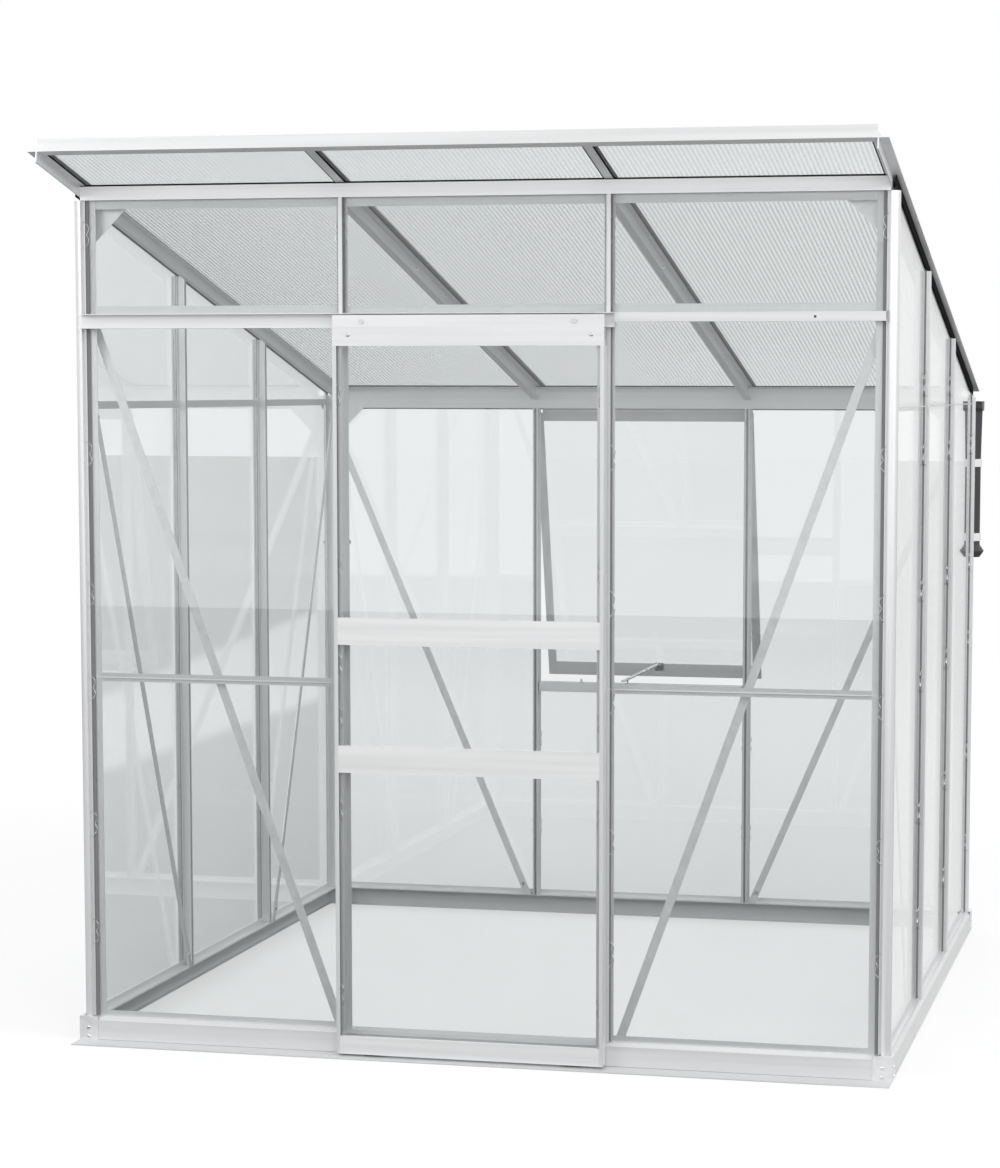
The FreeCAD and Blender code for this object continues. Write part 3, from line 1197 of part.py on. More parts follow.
foot_outline = [
    ("0", foot_level), (window_deep, foot_level),
    (window_deep, f"{foot_level} + window_lap"), (window_glass, f"{foot_level} + window_lap"),
    (window_glass, f"{foot_level} + window_web"), ("window_base", f"{foot_level} + window_web"),
    ("window_base", f"{foot_level} + window_foot"), ("0", f"{foot_level} + window_foot"),
]
foot_rail = profile("window_foot_rail", "YZ", [foot_outline], inner_span)
window_place(foot_rail, "-(window_half - window_stile)")
node("window_foot_rail", [foot_rail])

glass_half = "(window_half - window_web - pane_gap)"
pane_outline = [
    ("window_base", f"{foot_level} + window_web"), (window_glass, f"{foot_level} + window_web"),
    (window_glass, f"{head_top} - window_web"), ("window_base", f"{head_top} - window_web"),
]
window_glass_pane = profile("window_pane", "YZ", [pane_outline], f"2 * {glass_half}")
window_place(window_glass_pane, f"-{glass_half}")
node("window_pane", [window_glass_pane])

# Window hinge claw: a fixed strip under the eave whose curl holds the bead of the window
claw_outline = [("0", "0")]
CLAW_STEPS = 10
CLAW_START = -15
CLAW_SWEEP = 250
CLAW_BREAK = 5
outer_reach = "(bead_radius + claw_gap + claw_wall)"
plate_outer = "(beam_out - hinge_out + claw_wall)"
plate_inner = "(beam_out - hinge_out)"
for step in range(CLAW_STEPS, CLAW_BREAK, -1):
    turn = CLAW_START + step * CLAW_SWEEP / CLAW_STEPS
    claw_outline.append((f"{outer_reach} * cos({turn} * 1 deg)",
                         f"{outer_reach} * sin({turn} * 1 deg)"))
claw_outline += [
    (plate_inner, outer_reach), (plate_inner, "claw_plate_high - hinge_height"),
    (plate_outer, "claw_plate_high - hinge_height"), (plate_outer, outer_reach),
]
for step in range(CLAW_BREAK - 2, -1, -1):
    turn = CLAW_START + step * CLAW_SWEEP / CLAW_STEPS
    claw_outline.append((f"{outer_reach} * cos({turn} * 1 deg)",
                         f"{outer_reach} * sin({turn} * 1 deg)"))
claw_lump = profile("window_claw_lump", "YZ", [claw_outline], inner_span)
place(claw_lump, "-(window_half - window_stile)", f"{HALF} + hinge_out", "hinge_height")
claw = doc.addObject("Part::Cut", "window_claw")
claw.Base = claw_lump
claw.Tool = hinge_cylinder("window_claw_bore", "bead_radius + claw_gap", f"2 * {inner_span}")
node("window_claw", [claw])

# Window stay: a perforated flat bar on a pin, reaching inwards over a peg on the sill
pin_y = f"({HALF} + hinge_out + stay_down * sin({OPENING}) - stay_in * cos({OPENING}))"
pin_z = f"(hinge_height - stay_down * cos({OPENING}) - stay_in * sin({OPENING}))"
TILT = "(stay_tilt * 1 deg)"
SWING = "(stay_swing * 1 deg)"


def stay_place(thing, across="0", out="0", up="0"):
    """Put a piece at a point of the tilted plane in which the stay swings on its pin."""
    y = f"{pin_y} + ({out}) * cos({TILT}) - ({up}) * sin({TILT})"
    z = f"{pin_z} + ({out}) * sin({TILT}) + ({up}) * cos({TILT})"
    place(thing, f"stay_place + ({across})", y, z, axis=X_AXIS, turn_by=TILT)


def on_stay(reach, side):
    """Point of the stay at a reach from its pin and to one side of its middle line."""
    return (f"({side}) * cos({SWING}) - ({reach}) * sin({SWING})",
            f"-({side}) * sin({SWING}) - ({reach}) * cos({SWING})")


HOLE_STEPS = 12


def stay_ring(reach, radius):
    """A hole in the stay, punched with flats that all lie at the radius."""
    points = []
    for step in range(HOLE_STEPS):
        turn = f"({360 / HOLE_STEPS * step} * 1 deg)"
        corner_radius = f"({radius} / cos({180 / HOLE_STEPS} * 1 deg))"
        points.append(on_stay(f"{reach} + {corner_radius} * cos{turn}",
                              f"{corner_radius} * sin{turn}"))
    return points


stay_far = "(stay_reach + stay_end)"
arm_outline = [on_stay("-stay_width / 2", "-stay_width / 2"),
               on_stay(stay_far, "-stay_width / 2"), on_stay(stay_far, "stay_width / 2"),
               on_stay("-stay_width / 2", "stay_width / 2")]
arm_holes = [stay_ring("0", "(stay_pin + stay_fit)")]
for share in ("0.4", "0.7", "1"):
    arm_holes.append(stay_ring(f"stay_reach * {share}", "stay_hole"))
arm = profile("window_stay", "XY", [arm_outline] + arm_holes, "stay_sheet")
stay_place(arm)
node("window_stay", [arm])

# Stay bracket: a plate on the foot rail of the window, a tongue under the stay and its pin
plate = box("bracket_plate", "bracket_width", "bracket_sheet", "bracket_low - bracket_high")
window_place(plate, "stay_place - bracket_width / 2", "-bracket_sheet", "-bracket_low")
tongue = box("bracket_tongue", "bracket_tongue", "stay_in + stay_width / 2 - bracket_gap",
             "bracket_sheet")
stay_place(tongue, "-bracket_tongue / 2", "-stay_width / 2", "-stay_gap - bracket_sheet")
pin_outline = [
    ("0", "-stay_gap - bracket_sheet"), ("stay_pin", "-stay_gap - bracket_sheet"),
    ("stay_pin", "stay_sheet + stay_gap"), ("pin_head", "stay_sheet + stay_gap"),
    ("pin_head", "stay_sheet + stay_gap + pin_head_height"),
    ("0", "stay_sheet + stay_gap + pin_head_height"),
]
pin = turned("bracket_pin", pin_outline)
stay_place(pin)
bracket = doc.addObject("Part::MultiFuse", "stay_bracket")
bracket.Shapes = [plate, tongue, pin]
node("stay_bracket", [bracket])

# Sill pegs: a turned peg under the stay and a second one further along the sill
peg_outline = [
    ("0", "0"), ("peg_base", "0"), ("peg_base", "peg_base_sheet"),
    ("peg_radius", "peg_base_sheet"), ("peg_radius", "peg_height"), ("0", "peg_height"),
]
pegs = []
for spacing in ("0", "peg_spacing"):
    peg = turned(f"sill_peg_{len(pegs)}", peg_outline)
    place(peg, f"stay_place - stay_reach * sin({SWING}) - {spacing}",
          f"{pin_y} - stay_reach * cos({SWING}) * cos({TILT})", "window_sill_high")
    pegs.append(peg)
node("sill_pegs", pegs)

# Check every object and write one file for each named part
doc.recompute()
for item in doc.Objects:
    if {"Invalid", "Error"} & set(item.State):
        raise RuntimeError("not built: " + item.Label)
os.makedirs("parts", exist_ok=True)
for label, part in NODES.items():
    shape = part.Shape
    if shape.isNull() or not shape.isValid():
        raise RuntimeError("bad shape: " + label)
    shape.exportStep(f"parts/{label}.step")
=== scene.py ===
import json
import math

import bmesh
import bpy
from mathutils import Matrix, Vector


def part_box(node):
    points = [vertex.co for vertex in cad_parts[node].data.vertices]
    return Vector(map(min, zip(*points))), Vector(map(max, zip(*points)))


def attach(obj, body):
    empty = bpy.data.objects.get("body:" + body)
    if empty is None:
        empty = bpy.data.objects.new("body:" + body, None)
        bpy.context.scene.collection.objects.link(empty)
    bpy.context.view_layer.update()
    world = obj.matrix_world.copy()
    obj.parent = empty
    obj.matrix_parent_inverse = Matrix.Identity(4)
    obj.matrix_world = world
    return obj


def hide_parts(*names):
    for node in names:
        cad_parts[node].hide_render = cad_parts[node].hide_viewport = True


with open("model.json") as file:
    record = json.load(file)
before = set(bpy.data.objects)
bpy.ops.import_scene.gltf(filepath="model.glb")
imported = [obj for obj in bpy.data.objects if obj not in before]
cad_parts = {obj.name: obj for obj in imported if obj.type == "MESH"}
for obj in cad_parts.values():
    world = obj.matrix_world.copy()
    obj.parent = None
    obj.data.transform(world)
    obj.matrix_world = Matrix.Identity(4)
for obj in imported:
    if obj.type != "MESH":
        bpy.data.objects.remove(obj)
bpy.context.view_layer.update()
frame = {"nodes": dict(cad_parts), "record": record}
nodes = frame["nodes"]
slots = {part["node"]: part["material_slot"] for part in frame["record"]["subparts"]}


def low_of(name, axis="z"):
    """Lowest coordinate of a CAD node."""
    return getattr(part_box(name)[0], axis)


def high_of(name, axis="z"):
    """Highest coordinate of a CAD node."""
    return getattr(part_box(name)[1], axis)


# Sizes of the house in metres: a wall's plane lies HALF away from the middle
PITCH = 0.62
HALF = 1.5 * PITCH
MULLION = PITCH / 2
POST_OUT = 0.024
POST_FACE = 0.004
FRONT = low_of("posts_front", "y") + POST_OUT
BACK = high_of("posts_back", "y") - POST_OUT
MIDDLE = (FRONT + BACK) / 2
GLASS_OUT = 0.013
STEM_HALF = 0.0015
GLASS_GAP = 0.002
SLOPE = math.radians(13.5)
FRONT_HEIGHT = 1.992

# Lower and upper edges of the glass
GLASS_FOOT = low_of("glass_front")
GLASS_TOP = high_of("glass_clerestory")
LOW_GLASS_TOP = high_of("glass_front")
UPPER_GLASS_FOOT = low_of("glass_clerestory")
SIDE_GLASS_TOP = high_of("glass_sides")
GABLE_FOOT = low_of("glass_gables")
BACK_GLASS_TOP = high_of("glass_back")


# Places on the walls and on the roof
def wall_point(wall, along, out, up):
    """Point of a wall: along it, outwards from its plane, and above the ground."""
    if wall == "front":
        return Vector((along, FRONT - out, up))
    if wall == "back":
        return Vector((-along, BACK + out, up))
    if wall == "right":
        return Vector((HALF + out, MIDDLE + along, up))
    return Vector((-HALF - out, MIDDLE + along, up))


def roof_point(across, run, rise):
    """Point of the roof: across it, down the slope from the front wall, above the sheets' foot."""
    down = Vector((0, math.cos(SLOPE), -math.sin(SLOPE)))
    normal = Vector((0, math.sin(SLOPE), math.cos(SLOPE)))
    return Vector((across, FRONT, FRONT_HEIGHT)) + down * run + normal * rise


# Meshes
def new_object(name, mesh):
    """An object for a mesh or a curve, linked to the scene."""
    thing = bpy.data.objects.new(name, mesh)
    bpy.context.scene.collection.objects.link(thing)
    return thing


def mesh_object(name, builder):
    """An object from a bmesh that `builder` fills."""
    build = bmesh.new()
    builder(build)
    bmesh.ops.recalc_face_normals(build, faces=build.faces)
    mesh = bpy.data.meshes.new(name)
    build.to_mesh(mesh)
    build.free()
    return new_object(name, mesh)


def add_prism(build, low, high):
    """A closed body between two matching rings of corners."""
    foot = [build.verts.new(corner) for corner in low]
    head = [build.verts.new(corner) for corner in high]
    count = len(foot)
    build.faces.new(foot[::-1])
    build.faces.new(head)
    for step in range(count):
        after = (step + 1) % count
        build.faces.new((foot[step], foot[after], head[after], head[step]))


def roof_block(build, across, run, rise):
    """A block on the roof slope between pairs of limits."""
    corners = ((0, 0), (1, 0), (1, 1), (0, 1))
    rings = [[roof_point(across[side], run[end], level) for side, end in corners]
             for level in rise]
    add_prism(build, *rings)


def tagged(thing, body, paint):
    """Give a new piece its body and its material."""
    thing.data.materials.clear()
    thing.data.materials.append(paint)
    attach(thing, body)
    return thing


# Shader nodes that the materials share
NOISE_DETAIL = 3.0
NOISE_LOW = 0.3
NOISE_HIGH = 0.7
WHITE = (1, 1, 1, 1)


def node_material(name):
    """An empty node material with its output."""
    paint = bpy.data.materials.new(name)
    paint.use_nodes = True
    tree = paint.node_tree
    tree.nodes.clear()
    output = tree.nodes.new("ShaderNodeOutputMaterial")
    return paint, tree, output


def add_node(tree, kind, **settings):
    """A node with its properties and its plain input values."""
    made = tree.nodes.new(kind)
    for key, value in settings.items():
        if hasattr(made, key):
            setattr(made, key, value)
        else:
            made.inputs[key.replace("_", " ")].default_value = value
    return made


def stretched_noise(tree, stretch, scale):
    """Noise in object space; `stretch` makes it run long along one axis."""
    place = add_node(tree, "ShaderNodeTexCoord")
    mapping = add_node(tree, "ShaderNodeMapping", Scale=stretch)
    noise = add_node(tree, "ShaderNodeTexNoise", Scale=scale, Detail=NOISE_DETAIL)
    tree.links.new(place.outputs["Object"], mapping.inputs["Vector"])
    tree.links.new(mapping.outputs["Vector"], noise.inputs["Vector"])
    return noise.outputs["Fac"]


def shaded(tone, share):
    """A colour made darker or lighter."""
    return tuple(min(1.0, share * channel) for channel in tone)


def mottled(tree, noise, tone, shares):
    """A colour that noise moves between two shares of its tone."""
    blend = add_node(tree, "ShaderNodeValToRGB")
    stops = blend.color_ramp.elements
    for stop, place, share in zip(stops, (NOISE_LOW, NOISE_HIGH), shares):
        stop.position = place
        stop.color = (*shaded(tone, share), 1)
    tree.links.new(noise, blend.inputs["Fac"])
    return blend.outputs["Color"]


def spread(tree, value, low, high, start=NOISE_LOW, end=NOISE_HIGH):
    """A value between start and end, spread between two others."""
    scaled = add_node(tree, "ShaderNodeMapRange", From_Min=start, From_Max=end, To_Min=low,
                      To_Max=high)
    tree.links.new(value, scaled.inputs["Value"])
    return scaled.outputs["Result"]


def combined(tree, operation, *terms):
    """Two or three sockets or numbers joined by a maths operation."""
    made = add_node(tree, "ShaderNodeMath", operation=operation)
    for spot, term in enumerate(terms):
        if isinstance(term, float):
            made.inputs[spot].default_value = term
        else:
            tree.links.new(term, made.inputs[spot])
    return made.outputs["Value"]


def bumped(tree, noise, strength, distance):
    """A bump normal from noise."""
    bump = add_node(tree, "ShaderNodeBump", Strength=strength, Distance=distance)
    tree.links.new(noise, bump.inputs["Height"])
    return bump.outputs["Normal"]


def mixed(tree, share, first, second):
    """Two shaders mixed; `share` is how much of the second, as a socket or a number."""
    mix = add_node(tree, "ShaderNodeMixShader")
    if isinstance(share, float):
        mix.inputs["Fac"].default_value = share
    else:
        tree.links.new(share, mix.inputs["Fac"])
    tree.links.new(first, mix.inputs[1])
    tree.links.new(second, mix.inputs[2])
    return mix.outputs["Shader"]


# Kinds of material
STREAK_SCALE = 60.0
STREAK_SHARES = (0.94, 1.04)
STREAK_BUMP = (0.08, 0.0005)
GRAIN_SCALE = 900.0
GRAIN_SHARES = (0.85, 1.15)
GRAIN_BUMP = (0.15, 0.0003)
GLASS_STRETCH = (1, 1, 0.4)
GLASS_SCALE = 3.0
GLASS_SHARES = (0.995, 1.005)
GRAZING_POWER = 5.0
SHEET_STRETCH = (1, 0.2, 1)
SHEET_SCALE = 40.0
SHEET_SHARES = (0.96, 1.04)
SHEET_ROUGH = 0.2
SHEET_GLOW = 0.5


def metal(name, tone, stretch, metallic=0.35, rough=(0.3, 0.42)):
    """Drawn or rolled metal: long faint streaks and a soft sheen."""
    paint, tree, output = node_material(name)
    shader = add_node(tree, "ShaderNodeBsdfPrincipled", Metallic=metallic)
    streaks = stretched_noise(tree, stretch, STREAK_SCALE)
    tree.links.new(mottled(tree, streaks, tone, STREAK_SHARES), shader.inputs["Base Color"])
    tree.links.new(spread(tree, streaks, *rough), shader.inputs["Roughness"])
    tree.links.new(bumped(tree, streaks, *STREAK_BUMP), shader.inputs["Normal"])
    tree.links.new(shader.outputs["BSDF"], output.inputs["Surface"])
    return paint


def plastic(name, tone, rough=(0.35, 0.5), shine=0.5):
    """Moulded plastic or rubber with a fine grain."""
    paint, tree, output = node_material(name)
    shader = add_node(tree, "ShaderNodeBsdfPrincipled", Specular_IOR_Level=shine)
    grain = stretched_noise(tree, EVEN, GRAIN_SCALE)
    tree.links.new(mottled(tree, grain, tone, GRAIN_SHARES), shader.inputs["Base Color"])
    tree.links.new(spread(tree, grain, *rough), shader.inputs["Roughness"])
    tree.links.new(bumped(tree, grain, *GRAIN_BUMP), shader.inputs["Normal"])
    tree.links.new(shader.outputs["BSDF"], output.inputs["Surface"])
    return paint


def grazing(tree, straight, steep):
    """Share of light that a clear surface reflects: more of it at flat angles."""
    facing = add_node(tree, "ShaderNodeLayerWeight", Blend=0.5)
    power = combined(tree, "POWER", facing.outputs["Facing"], GRAZING_POWER)
    return combined(tree, "MULTIPLY_ADD", power, steep, straight)


def glass(name, tint, straight, steep):
    """Clear flat glass: tinted see-through with a mirror share at its surfaces."""
    paint, tree, output = node_material(name)
    clear = add_node(tree, "ShaderNodeBsdfTransparent")
    haze = stretched_noise(tree, GLASS_STRETCH, GLASS_SCALE)
    tree.links.new(mottled(tree, haze, tint, GLASS_SHARES), clear.inputs["Color"])
    mirror = add_node(tree, "ShaderNodeBsdfGlossy", Roughness=0.0, Color=WHITE)
    surface = mixed(tree, grazing(tree, straight, steep), clear.outputs["BSDF"],
                    mirror.outputs["BSDF"])
    tree.links.new(surface, output.inputs["Surface"])
    return paint


def sheet_plastic(name, tint, tone, solid_share):
    """Translucent roof plastic: part see-through, part glowing with the light above it."""
    paint, tree, output = node_material(name)
    clear = add_node(tree, "ShaderNodeBsdfTransparent", Color=(*tint, 1))
    haze = stretched_noise(tree, SHEET_STRETCH, SHEET_SCALE)
    colour = mottled(tree, haze, tone, SHEET_SHARES)
    body = add_node(tree, "ShaderNodeBsdfPrincipled", Roughness=SHEET_ROUGH)
    glow = add_node(tree, "ShaderNodeBsdfTranslucent")
    tree.links.new(colour, body.inputs["Base Color"])
    tree.links.new(colour, glow.inputs["Color"])
    solid = mixed(tree, SHEET_GLOW, body.outputs["BSDF"], glow.outputs["BSDF"])
    surface = mixed(tree, solid_share, clear.outputs["BSDF"], solid)
    tree.links.new(surface, output.inputs["Surface"])
    return paint


# Materials; slim bars get the aluminium a little darker as painted shade, and the beam and the
# door rails get it paler as painted light
ALONG_X = (0.02, 1, 1)
ALONG_Y = (1, 0.02, 1)
ALONG_Z = (1, 1, 0.02)
EVEN = (1, 1, 1)
ALUMINIUM = (0.78, 0.785, 0.795)
# Painted shade: a darker copy of the aluminium for the slim bars
SLIM_PAINTED_SHADE = shaded(ALUMINIUM, 0.92)
# Painted light: a paler copy of the aluminium for the door rails, and a still paler one for the
# beam
PALE_PAINTED_LIGHT = (0.8, 0.805, 0.81)
BEAM_PAINTED_LIGHT = shaded(PALE_PAINTED_LIGHT, 1.08)
PLINTH = (0.70, 0.705, 0.71)
SATIN = 0.2
level_bar = metal("aluminium_level", ALUMINIUM, ALONG_X)
side_bar = metal("aluminium_side", ALUMINIUM, ALONG_Y)
upright_bar = metal("aluminium_upright", ALUMINIUM, ALONG_Z)
flat_plate = metal("aluminium_plate", ALUMINIUM, EVEN)
slim_shaded_level = metal("aluminium_slim_shaded_level", SLIM_PAINTED_SHADE, ALONG_X)
slim_shaded_side = metal("aluminium_slim_shaded_side", SLIM_PAINTED_SHADE, ALONG_Y)
slim_shaded_upright = metal("aluminium_slim_shaded_upright", SLIM_PAINTED_SHADE, ALONG_Z)
plinth_level = metal("aluminium_plinth_level", PLINTH, ALONG_X, metallic=SATIN)
plinth_side = metal("aluminium_plinth_side", PLINTH, ALONG_Y, metallic=SATIN)
pale_lit_level = metal("aluminium_pale_lit_level", PALE_PAINTED_LIGHT, ALONG_X, metallic=SATIN)
beam_lit_level = metal("aluminium_beam_lit", BEAM_PAINTED_LIGHT, ALONG_X, metallic=SATIN)
steel = metal("zinc_steel", (0.72, 0.73, 0.74), EVEN, metallic=1.0, rough=(0.2, 0.35))
clear_glass = glass("glass_clear", tint=(0.951, 0.959, 0.959), straight=0.06, steep=0.94)
roof_skin = sheet_plastic("polycarbonate_skin", tint=(0.957, 0.963, 0.963),
                          tone=(0.85, 0.86, 0.86), solid_share=0.07)
# Painted shade: a grey, part solid copy of the roof plastic for the web feet, which draws dark
# lines along the ribs
roof_web_shade = sheet_plastic("polycarbonate_web_shade", tint=(0.9, 0.91, 0.91),
                         tone=(0.47, 0.48, 0.485), solid_share=0.62)
rubber = plastic("rubber_black", (0.02, 0.02, 0.02), rough=(0.7, 0.9), shine=0.0)
grey_rubber = plastic("rubber_grey", (0.2, 0.2, 0.205), rough=(0.6, 0.8), shine=0.1)
dark_plastic = plastic("plastic_dark", (0.045, 0.045, 0.05))
white_plastic = plastic("plastic_white", (0.85, 0.85, 0.85))
nylon = plastic("nylon_dark", (0.08, 0.08, 0.08))

SLOT_PAINTS = {
    "glass": clear_glass, "black_rubber": rubber, "gutter_plastic": dark_plastic,
    "clip_plastic": white_plastic, "glide_plastic": nylon, "bright_steel": steel,
    "roof_polycarbonate": roof_skin,
}
METAL_PAINTS = (
    (("plinth_front", "plinth_back", "fascia"), plinth_level),
    (("plinth_sides",), plinth_side),
    (("front_beam",), beam_lit_level),
    (("transoms", "head_bar", "girts_front"), slim_shaded_level),
    (("door_rail", "door_track"), pale_lit_level),
    (("posts", "window_stiles"), upright_bar),
    (("mullions", "door_stile"), slim_shaded_upright),
    (("girts_sides", "rafters", "roof_bars"), slim_shaded_side),
    (("sill_sides", "end_rafters", "verges"), side_bar),
    (("braces", "gussets", "plinth_corners"), flat_plate),
)


def paint_for(name, slot):
    """The material of a CAD node: by its slot, or for a metal one by the start of its name."""
    if slot in SLOT_PAINTS:
        return SLOT_PAINTS[slot]
    for starts, paint in METAL_PAINTS:
        if name.startswith(starts):
            return paint
    return level_bar


for name, thing in nodes.items():
    thing.data.materials.clear()
    thing.data.materials.append(paint_for(name, slots[name]))

# Roof sheets with their two skins, the webs between them and the webs' wider feet; the webs are
# real, the grey of their feet is painted shade along the ribs
SHEET = 0.010
SKIN = 0.0008
WEB = 0.0012
WEB_FOOT = 0.0004
FOOT_RISE = 0.0005
FLUTE = 0.0105
FRONT_OVERHANG = 0.268
BACK_OVERHANG = 0.068
SIDE_OVERHANG = 0.003
SET_BACK = 0.002
EDGE = HALF + SIDE_OVERHANG
SHEET_EDGE = STEM_HALF + GLASS_GAP
SHEET_RUN = (-FRONT_OVERHANG / math.cos(SLOPE) + SET_BACK,
             (2 * HALF + BACK_OVERHANG) / math.cos(SLOPE))
SHEET_BAYS = (
    (-EDGE, -MULLION - SHEET_EDGE),
    (-MULLION + SHEET_EDGE, MULLION - SHEET_EDGE),
    (MULLION + SHEET_EDGE, EDGE),
)


def web_spots():
    """Left edges of all webs."""
    spots = []
    for left, right in SHEET_BAYS:
        count = int((right - left - WEB) / FLUTE)
        step = (right - left - WEB) / count
        spots += [left + number * step for number in range(count + 1)]
    return spots


def fluted_sheets(build):
    """Three twin-wall sheets: skins, webs between them, and web feet in a second material whose
    grey is painted shade along the ribs.
    """
    for bay in SHEET_BAYS:
        roof_block(build, bay, SHEET_RUN, (0, SKIN))
        roof_block(build, bay, SHEET_RUN, (SHEET - SKIN, SHEET))
    foot_top = SKIN + FOOT_RISE
    for start in web_spots():
        roof_block(build, (start, start + WEB), SHEET_RUN, (foot_top, SHEET - SKIN))
    # The web feet take the second material, the painted shade along the ribs
    clear_faces = len(build.faces)
    for start in web_spots():
        foot = (start - WEB_FOOT, start + WEB + WEB_FOOT)
        roof_block(build, foot, SHEET_RUN, (SKIN, foot_top))
    build.faces.ensure_lookup_table()
    for face in build.faces[clear_faces:]:
        face.material_index = 1


sheets = mesh_object("roof_flutes", fluted_sheets)
tagged(sheets, "frame", roof_skin)
sheets.data.materials.append(roof_web_shade)
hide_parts("roof_sheets")

# Glazing seals and post lips: the points of a section are across the pane and out of the wall
STEM_SEAL = ((0.0001, 0.010), (0.002, 0.010), (0.002, 0.013), (0.005, 0.013), (0.0046, 0.0142),
             (0.0032, 0.0148), (0.0001, 0.0152))
POST_SEAL = ((0.0085, 0.010), (0.013, 0.010), (0.013, 0.013), (0.0158, 0.013), (0.0154, 0.0142),
             (0.012, 0.0150), (0.0087, 0.0148))
POST_LIP = ((0.0001, 0.010), (0.0078, 0.010), (0.0078, 0.0165), (0.0055, 0.0165),
            (0.005, 0.0145), (0.0001, 0.0145))
VERGE_DROP = 0.0285
SILL_LAP = 0.015
WALLS = ("front", "right", "back", "left")


def pane_edges(bays):
    """Upright edges of the panes of some bays: where each starts, which way it faces, its seal.

    The bays of a wall are counted from 0 to 2, and the outer ones end at the corner posts.
    """
    edges = []
    for bay in bays:
        left = bay * PITCH - HALF
        if bay == 0:
            edges.append((left - POST_FACE, 1, POST_SEAL))
        else:
            edges.append((left + STEM_HALF, 1, STEM_SEAL))
        if bay == 2:
            edges.append((HALF + POST_FACE, -1, POST_SEAL))
        else:
            edges.append((left + PITCH - STEM_HALF, -1, STEM_SEAL))
    return edges


def flat_top(height):
    """An upper edge that is level."""
    return lambda along: height


def verge_foot(along):
    """Lower edge of the verge over a side wall, and never above the front post."""
    drop = VERGE_DROP / math.cos(SLOPE)
    return min(high_of("posts_front"), FRONT_HEIGHT - (along + HALF) * math.tan(SLOPE) - drop)


# Glazed fields: wall, bays, foot and upper edge of the glass
FIELDS = (
    ("front", (0, 2), GLASS_FOOT, flat_top(LOW_GLASS_TOP)),
    ("front", (0, 1, 2), UPPER_GLASS_FOOT, flat_top(GLASS_TOP)),
    ("right", (0, 1, 2), GLASS_FOOT, flat_top(SIDE_GLASS_TOP)),
    ("right", (0, 1, 2), GABLE_FOOT, verge_foot),
    ("left", (0, 1, 2), GLASS_FOOT, flat_top(SIDE_GLASS_TOP)),
    ("left", (0, 1, 2), GABLE_FOOT, verge_foot),
    ("back", (0, 2), GLASS_FOOT, flat_top(BACK_GLASS_TOP)),
    ("back", (1,), GLASS_FOOT, flat_top(high_of("window_sill") - SILL_LAP)),
)


def strips_of(wall, section_for):
    """A builder of strips up the pane edges of a wall, with the section that suits each seal."""
    def build_strips(build):
        for place, bays, foot, top in FIELDS:
            if place != wall:
                continue
            for start, facing, seal in pane_edges(bays):
                spots = [(start + facing * across, out) for across, out in section_for(seal)]
                if spots:
                    add_prism(build,
                              [wall_point(wall, along, out, foot) for along, out in spots],
                              [wall_point(wall, along, out, top(along)) for along, out in spots])
    return build_strips


def seal_section(seal):
    """The seal itself."""
    return seal


def lip_section(seal):
    """The lip beside a corner post; a bar between two bays has none."""
    return POST_LIP if seal is POST_SEAL else ()


for wall in WALLS:
    seals = mesh_object("seals_" + wall, strips_of(wall, seal_section))
    tagged(seals, "frame", grey_rubber)
    lips = mesh_object("post_lips_" + wall, strips_of(wall, lip_section))
    tagged(lips, "frame", upright_bar)

# Verge seals: black strips over the upper edge of the gable glass, under the verges' wings
VERGE_SEAL_OUT = (GLASS_OUT + 0.0001, GLASS_OUT + 0.0026)
VERGE_SEAL_RISE = (-0.0265, -0.003)
VERGE_SEAL_PAST = 0.02
VERGE_SEAL_RUN = (-VERGE_SEAL_PAST, (2 * HALF + VERGE_SEAL_PAST) / math.cos(SLOPE))


def verge_seals(build):
    """One strip down each verge."""
    for side in (-1, 1):
        across = sorted(side * (HALF + out) for out in VERGE_SEAL_OUT)
        roof_block(build, across, VERGE_SEAL_RUN, VERGE_SEAL_RISE)


tagged(mesh_object("verge_seals", verge_seals), "frame", rubber)

# Door seals: strips between the door panes and the lips of the stiles
DOOR_WEB = 0.003
DOOR_GLASS = 0.055
DOOR_SEAL = ((0.0003, 0.0), (0.0055, 0.0), (0.005, 0.0016), (0.0003, 0.0024))
DOOR_EDGES = (
    (low_of("door_stile_left", "x") + DOOR_WEB, 1),
    (high_of("door_stile_right", "x") - DOOR_WEB, -1),
)
DOOR_FIELDS = (
    (high_of("door_rail_bottom"), low_of("door_rail_lower")),
    (high_of("door_rail_lower"), low_of("door_rail_upper")),
    (high_of("door_rail_upper"), low_of("door_head")),
)


def door_seals(build):
    """Seals along both stiles, one for each pane."""
    for limits in DOOR_FIELDS:
        for start, facing in DOOR_EDGES:
            rings = [[wall_point("front", start + facing * across, DOOR_GLASS + out, level)
                      for across, out in DOOR_SEAL] for level in limits]
            add_prism(build, *rings)


tagged(mesh_object("door_seals", door_seals), "door", grey_rubber)

# Spring wire clips that hold the glass; the points are across the pane, outwards and upwards
WIRE = 0.00075
CLIP_HALF = ((0.0018, 0.007, 0.029), (0.004, 0.003, 0.027), (0.011, 0.0012, 0.020),
             (0.013, 0.0012, 0.014), (0.010, 0.0012, 0.005))
CLIP_MIDDLE = (0.006, 0.002, 0.0)
CLIP_LINE = (*CLIP_HALF, CLIP_MIDDLE,
             *((across, out, -up) for across, out, up in reversed(CLIP_HALF)))
WALL_CLIPS = (0.258, 0.515, 0.835, 1.054, 1.380, 1.884)
DOOR_CLIPS = (0.143, 0.572, 0.785, 0.905, 1.127, 1.516)
CLIP_MARGIN = 0.04
GABLE_CLIP = 0.05
POST_REACH = 0.004


